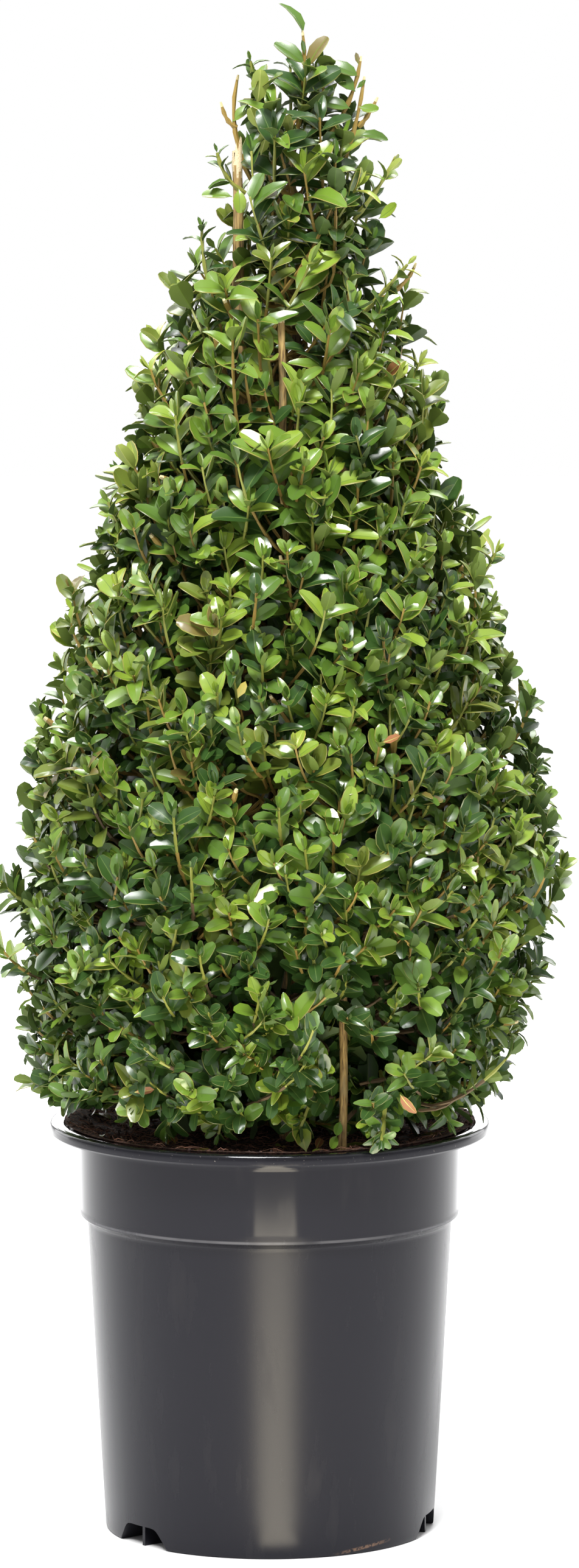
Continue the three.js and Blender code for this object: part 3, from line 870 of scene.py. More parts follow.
class LeafTree(Tree):
    """The tree that puts a leaf on every point and deals the leaves their colours."""

    VARIATION = (0.93, 1.07)

    def __init__(self) -> None:
        """Builds the tree with one input for each leaf shape."""
        super().__init__("leaf_sprays")
        joined = self.node("GeometryNodeJoinGeometry")
        for shape in sorted(LEAF_SHAPES, reverse=True):
            socket = self.named_input(f"Shape {int(shape)}", "NodeSocketObject")
            info = self.node("GeometryNodeObjectInfo", {}, {"Object": socket, "As Instance": True})
            self.group.links.new(info.outputs["Geometry"], joined.inputs[0])
        size = self.named_input("Leaf size", "NodeSocketFloat")
        seed = self.named_input("Seed", "NodeSocketInt")
        scaled = self.product(self.attribute("size", "FLOAT"), self.random_number(*self.VARIATION, seed))
        inputs = {
            "Points": self.start.outputs[0],
            "Instance": joined.outputs[0],
            "Pick Instance": True,
            "Instance Index": self.attribute("shape", "INT"),
            "Rotation": self.attribute("turn", "FLOAT_VECTOR"),
            "Scale": self.product(scaled, size),
        }
        self.finish(self.node("GeometryNodeInstanceOnPoints", {}, inputs).outputs[0], self._dealt())

    def _dealt(self) -> list[tuple[Any, Material]]:
        """Pairs of a selection of faces and the leaf material that they get."""
        part, tone = self.attribute("part", "INT"), self.attribute("tone", "INT")
        blade = self.equals(part, LeafPart.BLADE)
        dealt = [(None, BLADES[Tone.MID].material())]
        for one, finish in BLADES.items():
            if one != Tone.MID:
                dealt.append((self.both(blade, self.equals(tone, one)), finish.material()))
        for age in AGES:
            shared = self.at_least(tone, age.first)
            for one, finish in age.finishes().items():
                dealt.append((self.both(shared, self.equals(part, one)), finish.material()))
        return dealt

    def grow(self, cloud: LeafCloud, name: str, shapes: dict[Shape, Object], seed: int) -> Object:
        """The leaves of a cloud as one plain mesh.

        Args:
            cloud: the leaves.
            name: the mesh's name.
            shapes: a leaf of each shape.
            seed: of the small differences in size.

        Returns:
            The mesh object.
        """
        source = new_object(name + "_points", cloud.roots, ())
        set_numbers(source.data, "turn", "FLOAT_VECTOR", "POINT", cloud.turns)
        set_numbers(source.data, "size", "FLOAT", "POINT", cloud.sizes)
        set_numbers(source.data, "shape", "INT", "POINT", cloud.shapes)
        set_numbers(source.data, "tone", "INT", "POINT", cloud.tones)
        values: dict[str, Any] = {f"Shape {int(shape)}": made for shape, made in shapes.items()}
        values |= {"Leaf size": 1.0, "Seed": seed}
        return self.apply(source, name, values)


# ---- twigs


@dataclass
class TwigCloud:
    """The twigs of one piece: open paths with a thickness and an age at each point."""

    points: list[Vector3] = field(default_factory=list)
    radii: list[float] = field(default_factory=list)
    woods: list[int] = field(default_factory=list)
    edges: list[tuple[int, int]] = field(default_factory=list)

    def add(self, path: Sequence[Vector3], thick: float, thin: float, wood: Wood, knots: float = 0.0) -> None:
        """Adds a path that tapers from one radius to another, with every other point swollen to a knot."""
        first = len(self.points)
        for i, point in enumerate(path):
            share = i / (len(path) - 1)
            self.points.append(point)
            self.radii.append((thick + (thin - thick) * share) * (1 + knots * (i % 2)))
            self.woods.append(int(wood))
            if i:
                self.edges.append((first + i - 1, first + i))


class TwigTree(Tree):
    """The tree that gives every path its round, tapering skin."""

    def __init__(self) -> None:
        """Builds the tree."""
        super().__init__("twig_skins")
        sides = self.named_input("Sides", "NodeSocketInt")
        curve = self.node("GeometryNodeMeshToCurve", {}, {0: self.start.outputs[0]}).outputs[0]
        radius = self.attribute("radius_of_twig", "FLOAT")
        curve = self.node("GeometryNodeSetCurveRadius", {}, {"Curve": curve, "Radius": radius}).outputs[0]
        circle = self.node("GeometryNodeCurvePrimitiveCircle", {}, {"Resolution": sides, "Radius": 1.0})
        inputs = {"Curve": curve, "Profile Curve": circle.outputs[0], "Fill Caps": True}
        skin = self.node("GeometryNodeCurveToMesh", {}, inputs)
        if "Scale" in skin.inputs:
            self.group.links.new(radius, skin.inputs["Scale"])
        wood = self.attribute("wood", "INT")
        dealt = [(None, WOODS[Wood.SHOOT].material())]
        dealt += [(self.equals(wood, one), WOODS[one].material()) for one in Wood if one != Wood.SHOOT]
        self.finish(skin.outputs[0], dealt)

    def grow(self, cloud: TwigCloud, name: str, sides: int) -> Object:
        """The twigs of a cloud as one plain mesh."""
        source = new_object(name + "_paths", cloud.points, (), cloud.edges)
        set_numbers(source.data, "radius_of_twig", "FLOAT", "POINT", cloud.radii)
        set_numbers(source.data, "wood", "INT", "POINT", cloud.woods)
        made = self.apply(source, name, {"Sides": sides})
        smooth(made, 60)
        return made


# ---- pot and compost


@dataclass(frozen=True)
class Notch:
    """A drainage notch in the pot's foot: a wedge with a rib across it and a slot in its roof."""

    azimuth: float
    height: float = 0.0125
    half_foot: float = 0.023
    half_top: float = 0.0135
    depth: float = 0.024
    corner: float = 0.004
    rib: float = 0.0024
    rib_set_back: float = 0.002
    slot_across: float = 0.007
    slot_along: float = 0.012
    slot_set_back: float = 0.003
    sunk: float = 0.001
    spare: float = 0.005

    def _wedge(self, grown: float) -> list[Pair]:
        """The wedge seen from the front, with rounded upper corners, as (x, z) pairs."""
        foot, top, roof = self.half_foot + grown, self.half_top + grown, self.height + grown
        corner = np.array([top, roof])
        start = corner - unit(np.array([top - foot, roof])) * self.corner
        end = corner - np.array([self.corner, 0.0])
        rounding = [bend(start, corner, end, share) for share in (0.0, 0.3, 0.6, 1.0)]
        right = [(foot, -self.spare), (foot, 0.0), *((float(x), float(z)) for x, z in rounding)]
        return right + [(-x, z) for x, z in reversed(right)]

    def block(self, foot_radius: float, grown: float) -> Object:
        """The notch's wedge as a solid, grown on all sides."""
        front = -foot_radius - 2 * self.spare
        return self._prism("notch_block", self._wedge(grown), front, self.depth + grown + 2 * self.spare)

    def bar(self, foot_radius: float) -> Object:
        """The rib that stands across the notch."""
        front = -foot_radius + self.rib_set_back + self.sunk / 2
        outline = self._upright(-self.rib / 2, self.rib / 2, 0.0, self.height + self.sunk)
        return self._prism("notch_rib", outline, front, self.depth - self.sunk)

    def drain(self, foot_radius: float) -> Object:
        """The drain slot through the notch's roof, beside its rib."""
        front = -foot_radius + (self.depth - self.slot_along) / 2 + self.slot_set_back
        low, high = self.height - self.spare, self.height + self.spare
        outline = self._upright(self.slot_across * 0.5, self.slot_across * 1.5, low, high)
        return self._prism("notch_drain", outline, front, self.slot_along)

    @staticmethod
    def _upright(left: float, right: float, low: float, high: float) -> list[Pair]:
        """A rectangle seen from the front, as (x, z) pairs."""
        return [(right, low), (right, high), (left, high), (left, low)]

    def _prism(self, name: str, outline: list[Pair], front: float, depth: float) -> Object:
        """A closed prism that runs back from a front face, turned to the notch's azimuth.

        Args:
            name: the solid's name.
            outline: (x, z) pairs, counter-clockwise from the front.
            front: where along Y it starts.
            depth: how far back it runs.

        Returns:
            The solid.
        """
        count = len(outline)
        cosine, sine = math.cos(self.azimuth), math.sin(self.azimuth)
        sides = [(x, y, z) for y in (front, front + depth) for x, z in outline]
        points = [(x * cosine - y * sine, x * sine + y * cosine, z) for x, y, z in sides]
        faces: list[tuple[int, ...]] = [tuple(range(count)), tuple(range(2 * count - 1, count - 1, -1))]
        faces += [(i, count + i, count + (i + 1) % count, (i + 1) % count) for i in range(count)]
        return new_object(name, points, faces)


@dataclass
class Pot:
    """The moulded pot: a tapered body, a wide collar, and a rim rolled outwards."""

    rim_radius: float = 0.1325
    height: float = 0.2485
    foot_radius: float = 0.0994
    wall: float = 0.0022
    collar_radius: float = 0.1156
    collar_height: float = 0.1925
    body_top: float = 0.1100
    collar_draft: float = 0.0012
    rim_width: float = 0.008
    rim_drop: float = 0.007
    skin: float = 0.0005
    footing: float = 0.030
    notches: tuple[Notch, ...] = tuple(Notch(math.radians(azimuth)) for azimuth in (-51, 76, 194))
    sides: int = 216
    finish: PotFinish = PotFinish()

    @property
    def neck(self) -> float:
        """The height where the shell turns outwards into the rim."""
        return self.height - self.rim_drop - 0.002

    def inside(self) -> list[Pair]:
        """The shell's inside, from the middle of its floor up to the rim."""
        collar = self.collar_radius - self.wall
        return [
            (0.0, self.wall),
            (self.foot_radius - self.wall - 0.003, self.wall),
            (self.foot_radius - self.wall, self.wall + 0.003),
            (self.body_top - self.wall, self.collar_height - 0.003),
            (collar - self.collar_draft, self.collar_height + self.wall),
            (collar, self.neck - 0.002),
            (collar + 0.0015, self.neck + 0.003),
            (collar + 0.0045, self.neck + 0.0065),
            (self.rim_radius - self.rim_width, self.height - 0.0004),
        ]

    def _outside(self) -> list[Pair]:
        """The shell's outside, from the middle of its underside up to the rim's top."""
        rim, top, lip = self.rim_radius, self.height, self.height - self.rim_drop
        foot, body, step, neck = self.foot_radius, self.body_top, self.collar_height, self.neck
        collar, ring = self.collar_radius, self.collar_radius - self.collar_draft
        return [
            (0.0, 0.0), (foot - 0.0016, 0.0), (foot - 0.0004, 0.0005), (foot, 0.0018),
            (foot + 0.0001, 0.0036), (foot + (body - foot) * 0.5, (step - 0.004) * 0.5),
            (body - 0.0001, step - 0.0058), (body, step - 0.0040), (body + 0.0006, step - 0.0032),
            (ring - 0.0012, step - 0.0012), (ring - 0.0002, step - 0.0004), (ring, step + 0.0008),
            (ring + 0.0001, step + 0.0024), (collar - 0.0002, neck - 0.0036),
            (collar - 0.0001, neck - 0.0020), (collar + 0.0006, neck - 0.0004),
            (collar + 0.0020, neck + 0.0006), (rim - 0.0026, lip), (rim - 0.0010, lip + 0.0002),
            (rim - 0.0001, lip + 0.0012), (rim, lip + 0.0026), (rim, top - 0.0018),
            (rim - 0.0003, top - 0.0009), (rim - 0.0010, top - 0.0002), (rim - 0.0020, top),
            (rim - self.rim_width + 0.0012, top),
        ]

    def build(self) -> None:
        """Builds the shell, cuts its notches and hands it over."""
        shell = lathe("pot_shell", [*self._outside(), *reversed(self.inside())], self.sides)
        around = self.foot_radius - self.skin
        skirt = around + 3 * self.skin
        room = [(0.0, self.skin), (around, self.skin), (skirt, self.footing), (0.0, self.footing)]
        for notch in self.notches:
            block = notch.block(self.foot_radius, self.wall)
            walls = combined(block, lathe("room", room, self.sides), "INTERSECT")
            shell = combined(shell, walls, "UNION")
            shell = combined(shell, notch.block(self.foot_radius, 0.0), "DIFFERENCE")
            shell = combined(shell, notch.drain(self.foot_radius), "DIFFERENCE")
            shell = combined(shell, notch.bar(self.foot_radius), "UNION")
        shell.data.materials.clear()
        shell.data.materials.append(self.finish.material())
        smooth(shell, 34)
        hand_over(shell, "pot", "pot")


class CrumbTree(Tree):
    """The tree that strews crumbs of peat over a surface."""

    FLATNESS = (1.0, 0.72, 0.55)
    MOST_TURN = (6.28, 6.28, 6.28)

    def __init__(self, material: Material) -> None:
        """Builds the tree with inputs for the density, the sizes and the seed."""
        super().__init__("peat_crumbs")
        names = ("Density", "Least", "Most")
        density, least, most = (self.named_input(name, "NodeSocketFloat") for name in names)
        seed = self.named_input("Seed", "NodeSocketInt")
        inputs = {"Mesh": self.start.outputs[0], "Density": density, "Seed": seed}
        spread = self.node("GeometryNodeDistributePointsOnFaces", {"distribute_method": "RANDOM"}, inputs)
        ball = self.node("GeometryNodeMeshIcoSphere", {}, {"Radius": 1.0, "Subdivisions": 1})
        crumb = self.node("GeometryNodeTransform", {}, {"Geometry": ball.outputs[0], "Scale": self.FLATNESS})
        turn = self.node("FunctionNodeRandomValue", {"data_type": "FLOAT_VECTOR"}, {"Seed": seed})
        turn.inputs[1].default_value = self.MOST_TURN
        inputs = {
            "Points": spread.outputs[0],
            "Instance": crumb.outputs[0],
            "Rotation": turn.outputs[0],
            "Scale": self.random_number(least, most, seed),
        }
        placed = self.node("GeometryNodeInstanceOnPoints", {}, inputs)
        self.finish(placed.outputs[0], [(None, material)])


@dataclass
class Compost:
    """The peat that fills the pot: a lumpy, slightly domed surface with crumbs and fibres on it."""

    level: float = 0.241
    crowning: float = 0.0025
    bank: float = 0.0080
    bank_foot: float = 0.098
    edge: float = 0.1238
    gap: float = 0.00035
    rings: int = 46
    sides: int = 132
    lumps: float = 0.0030
    calm_from: float = 0.108
    bed_rings: int = 16
    bed_sides: int = 48
    crumb_density: float = 24000.0
    crumb_sizes: Pair = (0.0005, 0.0022)
    crumb_seed: int = 5
    fibres: int = 520
    fibre_reach: float = 0.120
    fibre_lengths: Pair = (0.006, 0.022)
    fibre_radii: Pair = (0.00010, 0.00030)
    fibre_steps: int = 4
    finish: CompostFinish = CompostFinish()

    def height(self, radius: float) -> float:
        """The surface's height at a distance from the pot's axis: a low dome, and a bank against the rim."""
        share = max(0.0, radius - self.bank_foot) / (self.edge - self.bank_foot)
        dome = self.crowning * (1 - (radius / self.edge) ** 2)
        return self.level + dome + self.bank * share**2 * (3 - 2 * share)

    def relief(self, point: Vector3) -> float:
        """How far the peat's lumps stand above its dome at a point."""
        coarse = noise.noise(Vector((point[0] * 60, point[1] * 60, 1.7)))
        fine = noise.noise(Vector((point[0] * 190, point[1] * 190, 8.1)))
        calm = max(0.0, math.hypot(point[0], point[1]) - self.calm_from) / (self.edge - self.calm_from)
        return self.lumps * (0.9 * coarse + 0.6 * fine) * max(0.1, 1 - calm)

    def on_top(self, x: float, y: float, clear: float) -> Vector3:
        """A point so far above the lumpy surface."""
        flat = np.array([x, y, 0.0])
        return flat + UP * (self.height(math.hypot(x, y)) + self.relief(flat) + clear)

    def build(self, pot: Pot) -> None:
        """Builds the plug of peat and its crumbs.

        Args:
            pot: the pot that it fills.
        """
        floor = pot.notches[0].height + pot.wall + self.gap
        taper = (pot.wall, pot.collar_height), (pot.foot_radius, pot.body_top)
        foot = float(np.interp(floor, *taper)) - pot.wall
        wall = [(0.0, floor), (foot - self.gap, floor)]
        wall += [(r - self.gap, z + self.gap) for r, z in pot.inside() if z > floor and r < self.edge]
        top = [self.edge * (1 - i / self.rings) for i in range(self.rings + 1)]
        plug = lathe("compost_plug", [*wall, *((r, self.height(r)) for r in top)], self.sides)
        for vertex in plug.data.vertices:
            if abs(vertex.co.z - self.height(math.hypot(vertex.co.x, vertex.co.y))) < 1e-5:
                vertex.co.z += self.relief(np.array(vertex.co))
        material = self.finish.material()
        plug.data.materials.append(material)
        smooth(plug)
        least, most = self.crumb_sizes
        values = {"Density": self.crumb_density, "Least": least, "Most": most, "Seed": self.crumb_seed}
        crumbs = CrumbTree(material).apply(self._bed(), "compost_crumbs", values)
        hand_over(plug, "soil", "soil")
        smooth(crumbs)
        hand_over(crumbs, "soil")

    def _bed(self) -> Object:
        """A helper disc that follows the lumps, for the crumbs to lie on.

        Returns:
            The disc.
        """
        points, count = [(0.0, 0.0, self.height(0))], self.bed_sides
        for ring in range(1, self.bed_rings + 1):
            radius = (self.edge - 0.001) * ring / self.bed_rings
            for i in range(count):
                angle = math.tau * i / count
                points.append(tuple(self.on_top(radius * math.cos(angle), radius * math.sin(angle), 0.0)))
        faces = [(0, 1 + i, 1 + (i + 1) % count) for i in range(count)]
        for base in range(1, 1 + (self.bed_rings - 1) * count, count):
            for i in range(count):
                j = (i + 1) % count
                faces.append((base + i, base + count + i, base + count + j, base + j))
        return new_object("crumb_bed", points, faces)

    def strew_fibres(self, cloud: TwigCloud, rng: np.random.Generator) -> None:
        """Lays fine root threads and chips on the peat.

        Args:
            cloud: gets them.
            rng: the source of random numbers.
        """
        for _ in range(self.fibres):
            radius, azimuth = self.fibre_reach * math.sqrt(rng.uniform(0.03, 1)), rng.uniform(0, math.tau)
            heading, turn = rng.uniform(0, math.tau), rng.normal(0, 0.5)
            span, thick = rng.uniform(*self.fibre_lengths), rng.uniform(*self.fibre_radii)
            point = on_bearing(azimuth, radius, 0)
            path = []
            for i in range(self.fibre_steps + 1):
                away = length(point)
                point = point * (min(self.fibre_reach + 0.002, away) / max(1e-6, away))
                arch = 0.0022 * math.sin(math.pi * i / self.fibre_steps) * rng.random()
                path.append(self.on_top(point[0], point[1], 0.0006 + arch))
                step = np.array([math.cos(heading), math.sin(heading), 0.0])
                point = point + step * span / self.fibre_steps
                heading += turn
            cloud.add(path, thick, thick * 0.6, Wood.FIBRE)


# ---- stems and boughs


@dataclass(frozen=True)
class Stem:
    """A stem's rule: where it stands and ends, its girth, its bow, and how its top was cut."""

    node: str
    foot: Pair
    top: Place
    radii: Pair
    bow: Pair
    flare: float
    bare_wood: float = 0.003
    slant: float = 0.6
    splinters: int = 0
    zigzag: float = 0.0016
    flare_height: float = 0.014

    def axis(self, t: float, seat: float = 0.002) -> Vector3:
        """The axis at t, from 0 at the flat cut, a seat below the compost's surface, to 1 at the top."""
        foot = np.array([*self.foot, Compost().height(math.hypot(*self.foot)) - seat])
        bulge = math.sin(math.pi * t)
        sway = self.zigzag * math.sin(9 * math.pi * t) * bulge
        aside = np.array([self.bow[0] * bulge + sway, self.bow[1] * bulge - sway, 0.0])
        return foot + (np.array(self.top) - foot) * t + aside

    def radius(self, t: float) -> float:
        """The radius at t, with the flare of the foot."""
        foot = self.flare * max(0.0, 1 - t * self.span() / self.flare_height) ** 2
        return self.radii[0] + (self.radii[1] - self.radii[0]) * t**0.8 + foot

    def point_at(self, height: float) -> Vector3:
        """The axis at a height."""
        return self.axis(min(1.0, max(0.0, (height - Compost.level) / self.span())))

    def span(self) -> float:
        """How far the stem stands out of the compost."""
        return self.top[2] - Compost.level

    def cut_rise(self, k: int, angle: float, radius: float) -> float:
        """How far side k of the top stands above the axis's end, where the cut slants or has torn."""
        torn = max(0.0, noise.noise(Vector((k * 1.7, 9.2, 0.4)))) * self.splinters * 0.004
        return torn - (0.5 + 0.5 * math.cos(angle)) * radius * self.slant

    def is_bare(self, k: int, left: float) -> bool:
        """Whether side k has lost its bark where so much of the stem is left above it."""
        ragged = 0.6 + 0.7 * abs(noise.noise(Vector((k * 0.9, 3.1, self.span() * 40))))
        return left * self.span() < self.bare_wood * ragged


@dataclass(frozen=True)
class Bough:
    """A side bough: from its stem's axis out to the middle of a wedge."""

    node: str
    start: Vector3
    end: Vector3
    radii: Pair = (0.0026, 0.0017)
    sag: float = 0.004

    def axis(self, t: float) -> Vector3:
        """The axis at t, from 0 inside its stem to 1 at its end."""
        return self.start + (self.end - self.start) * t - UP * self.sag * math.sin(math.pi * t)

    def radius(self, t: float) -> float:
        """The radius at t."""
        return self.radii[0] + (self.radii[1] - self.radii[0]) * t

    def span(self) -> float:
        """How long the bough is."""
        return length(self.end - self.start)

    def cut_rise(self, *_: float) -> float:
        """A bough ends square, inside its mass."""
        return 0.0

    def is_bare(self, *_: float) -> bool:
        """A bough keeps its bark."""
        return False


@dataclass(frozen=True)
class Ring:
    """A level of the crown cut into wedges, each on a bough of its own."""

    name: str
    low: float
    high: float
    wedges: int
    turn: float
    bough_at: float
    bough_rise: float
    bough_end: float = 0.072

    def start(self, index: float) -> float:
        """The bearing where a wedge starts."""
        return math.radians(self.turn + 360 / self.wedges * index)


@dataclass(frozen=True)
class Mass:
    """A mass of foliage: a band of height, and the bearings that it spans."""

    name: str
    low: float
    high: float
    start: float = 0.0
    sweep: float = math.tau
    bough: Bough | None = None


STEMS = (
    Stem(
        "stem_main", (-0.006, 0.004), (-0.019, -0.006, 0.834), (0.0072, 0.0029), (-0.003, 0.004),
        flare=0.003, bare_wood=0.022, slant=3.5, splinters=5,
    ),
    Stem("stem_leader", (0.016, 0.022), (0.013, 0.0, 0.850), (0.005, 0.0017), (0.003, 0.006), 0.002),
    Stem("stem_right", (0.043, -0.090), (0.040, 0.003, 0.782), (0.0026, 0.0017), (0.004, -0.024), 0.001),
    Stem(
        "stem_front", (0.010, -0.044), (0.007, -0.058, 0.736), (0.0036, 0.0021), (0.002, -0.004),
        flare=0.001, bare_wood=0.005, slant=1.5, splinters=2,
    ),
    Stem("stem_left", (-0.046, -0.008), (-0.052, 0.006, 0.700), (0.0038, 0.0018), (-0.003, 0.0), 0.001),
    Stem("stem_back", (-0.004, 0.050), (0.004, 0.054, 0.712), (0.004, 0.0019), (0.004, 0.004), 0.001),
)
RINGS = (
    Ring("belly", 0.250, 0.470, 5, 18, 0.318, 0.034),
    Ring("waist", 0.470, 0.640, 4, 45, 0.500, 0.030),
)


@dataclass
class Crown:
    """The clipped outline: how far it reaches to the left and to the right at each height."""

    rows: tuple[tuple[float, float, float], ...] = (
        (0.250, -0.118, 0.114), (0.275, -0.154, 0.148), (0.330, -0.156, 0.169), (0.400, -0.162, 0.178),
        (0.430, -0.144, 0.181), (0.470, -0.149, 0.168), (0.520, -0.132, 0.150), (0.560, -0.124, 0.142),
        (0.600, -0.106, 0.131), (0.640, -0.099, 0.105), (0.675, -0.086, 0.109), (0.720, -0.076, 0.092),
        (0.755, -0.064, 0.088), (0.772, -0.042, 0.072), (0.790, -0.030, 0.068), (0.820, -0.036, 0.072),
        (0.850, -0.028, 0.064), (0.872, -0.014, 0.058), (0.889, 0.006, 0.044),
    )
    unevenness: float = 0.004
    tuck: float = 0.030
    tuck_height: float = 0.045

    def _reach(self, height: float) -> Pair:
        """The left and the right edge at a height."""
        heights, left, right = zip(*self.rows)
        return float(np.interp(height, heights, left)), float(np.interp(height, heights, right))

    def middle(self, height: float) -> float:
        """How far the crown's axis stands to the right of the pot's at a height."""
        left, right = self._reach(height)
        return (left + right) / 2

    def radius(self, height: float) -> float:
        """The clipped outline's radius at a height."""
        left, right = self._reach(height)
        return (right - left) / 2

    def surface(self, azimuth: float, height: float, inset: float) -> Vector3:
        """A point on the clipped surface, or inside it.

        Args:
            azimuth: its bearing from the front.
            height: its height.
            inset: how far inside the surface it lies.

        Returns:
            The point; the lowest part is tucked in at the front and back.
        """
        uneven = math.sin(5 * azimuth + 31 * height) * math.sin(3 * azimuth - 47 * height + 1)
        low = max(0.0, 1 - (height - self.rows[0][0]) / self.tuck_height)
        tucked = self.tuck * math.cos(azimuth) ** 2 * low
        away = max(0.002, self.radius(height) + self.unevenness * uneven - inset - tucked)
        return on_bearing(azimuth, away, height) + np.array([self.middle(height), 0, 0])

    def depth(self, point: Vector3) -> float:
        """How far a point lies inside the clipped surface."""
        return self.radius(point[2]) - math.hypot(point[0] - self.middle(point[2]), point[1])


@dataclass
class Limbs:
    """The stems and the boughs with their bark."""

    stems: tuple[Stem, ...] = STEMS
    sides: int = 14
    step: float = 0.0038
    relief: float = 0.15
    scar: float = 0.10
    bark: BarkFinish = BarkFinish()
    cut: CutWoodFinish = CutWoodFinish()

    def towards(self, azimuth: float, height: float, inner: float = 0.060) -> Vector3:
        """The axis, at a height, of the stem nearest to a point so far out on a bearing."""
        facing = on_bearing(azimuth, inner, height)
        reaching = [stem.point_at(height) for stem in self.stems if stem.top[2] > height + 0.020]
        return min(reaching, key=lambda point: length(point - facing))

    def bough_of(self, ring: Ring, index: int, crown: Crown) -> Bough:
        """The bough that carries a ring's wedge."""
        azimuth = ring.start(index + 0.5)
        end = on_bearing(azimuth, ring.bough_end, ring.bough_at + ring.bough_rise)
        end[0] += crown.middle(end[2])
        return Bough(f"bough_{ring.name}_{index + 1}", self.towards(azimuth, ring.bough_at), end)

    def build(self, masses: Sequence[Mass]) -> None:
        """Builds every stem, and the bough of every mass that has one, and hands them over."""
        materials = self.bark.material(), self.cut.material()
        for rule in [*self.stems, *(mass.bough for mass in masses if mass.bough)]:
            limb = self._limb(rule)
            for material in materials:
                limb.data.materials.append(material)
            smooth(limb, 60)
            hand_over(limb, "bark", rule.node)

    def _limb(self, rule: Stem | Bough) -> Object:
        """A closed round limb with its bark's ridges and leaf scars.

        Args:
            rule: the stem or bough whose axis and radius it follows.

        Returns:
            The limb; the faces of cut or torn wood have the second material.
        """
        count = max(8, round(rule.span() / self.step))
        points: list[Vector3] = []
        for i in range(count + 1):
            t = i / count
            centre = rule.axis(t)
            along = unit(rule.axis(min(1, t + 0.01)) - rule.axis(max(0, t - 0.01)))
            side = unit(np.cross(along, np.array([0.0, 1.0, 0.1])))
            front = np.cross(along, side)
            scar = self.scar * max(0.0, 1 - abs(((centre[2] * 31) % 1) - 0.5) * 14)
            for k in range(self.sides):
                angle = math.tau * k / self.sides
                radius = rule.radius(t) * (1 + self._ridge(angle, float(centre[2])) + scar)
                point = centre + (side * math.cos(angle) + front * math.sin(angle)) * radius
                if i == count:
                    point = point + UP * rule.cut_rise(k, angle, radius)
                points.append(point)
        bare = [rule.is_bare(k, 1 - i / count) for i in range(count) for k in range(self.sides)]
        bare += [False] * self.sides + [isinstance(rule, Stem)] * self.sides
        points += [np.mean(ring, axis=0) for ring in (points[: self.sides], points[-self.sides :])]
        made = new_object(rule.node + "_bark", points, tube_faces(count + 1, self.sides))
        made.data.polygons.foreach_set("material_index", np.array(bare, dtype=np.int32))
        return made

    def _ridge(self, angle: float, height: float) -> float:
        """How far the bark's ridges stand out, as a share of the radius."""
        across, up = math.cos(angle), math.sin(angle)
        coarse = noise.noise(Vector((across * 2.6, up * 2.6, height * 55)))
        return self.relief * (coarse + 0.5 * noise.noise(Vector((across * 6, up * 6, height * 160))))


# ---- foliage


@dataclass(frozen=True)
class Zone:
    """How the sprays look at one height of the crown; the shares of tones also hold painted shade and light.
    """

    height: float
    spacing: float
    leaf: float
    internode: float
    lift: float
    cupping: float
    tones: dict[Tone, float]


def shares(**weights: float) -> dict[Tone, float]:
    """How often each tone is dealt, by its name."""
    return {Tone[name.upper()]: weight for name, weight in weights.items()}


# The skirt is dealt mostly the darkest tones as painted shade under the crown, and the middle, lit from
# above, mostly the paler fresh ones, which are also its younger growth.
ZONES = (
    Zone(0.250, 0.0186, 0.0168, 0.0074, 14, 0.6, shares(deep=7, dark=5, mid=1.3, fresh=0.4, bronze=0.1)),
    Zone(0.330, 0.0186, 0.0170, 0.0075, 38, 0.6, shares(deep=2.6, dark=5, mid=3.2, fresh=1.1, olive=0.3)),
    Zone(0.430, 0.0190, 0.0178, 0.0078, 50, 0.6,
         shares(deep=0.8, dark=3.4, mid=4.6, fresh=2.2, lime=0.1, olive=0.5, bronze=0.15)),
    Zone(0.560, 0.0198, 0.0188, 0.0082, 42, 0.7,
         shares(deep=0.3, dark=2, mid=4.6, fresh=4.2, lime=0.25, olive=0.6, bronze=0.15)),
    Zone(0.660, 0.0212, 0.0212, 0.0090, 32, 0.8,
         shares(deep=0.2, dark=1.2, mid=3.8, fresh=6, lime=0.8, olive=0.9, straw=0.12)),
    Zone(0.770, 0.0255, 0.0232, 0.0104, 20, 0.9,
         shares(deep=1.6, dark=3.2, mid=3.2, fresh=2.2, lime=0.4, olive=0.4)),
    Zone(0.920, 0.0305, 0.0220, 0.0108, 14, 0.9,
         shares(deep=3, dark=4.2, mid=2.2, fresh=0.8, lime=0.3, olive=0.4)),
)


@dataclass(frozen=True)
class Opening:
    """A place at the front where no leaf hides a stem."""

    x: float
    low: float
    high: float
    half_width: float
    front_of: float

    def hides(self, point: Vector3) -> bool:
        """Whether a leaf at a point would hide the stem."""
        inside = abs(point[0] - self.x) < self.half_width and self.low < point[2] < self.high
        return inside and point[1] < self.front_of


@dataclass(frozen=True)
class Shoot:
    """A shoot with a place of its own, in millimetres; one without a leaf length is bare."""

    foot: Place
    elbow: Place
    tip: Place
    leaf: float = 0.0
    tone: Tone = Tone.DARK


@dataclass(frozen=True)
class Leaf:
    """A leaf with a place and a size of its own, in millimetres."""

    root: Place
    along: Place
    facing: Place
    size: float
    shape: Shape
    tone: Tone = Tone.DARK


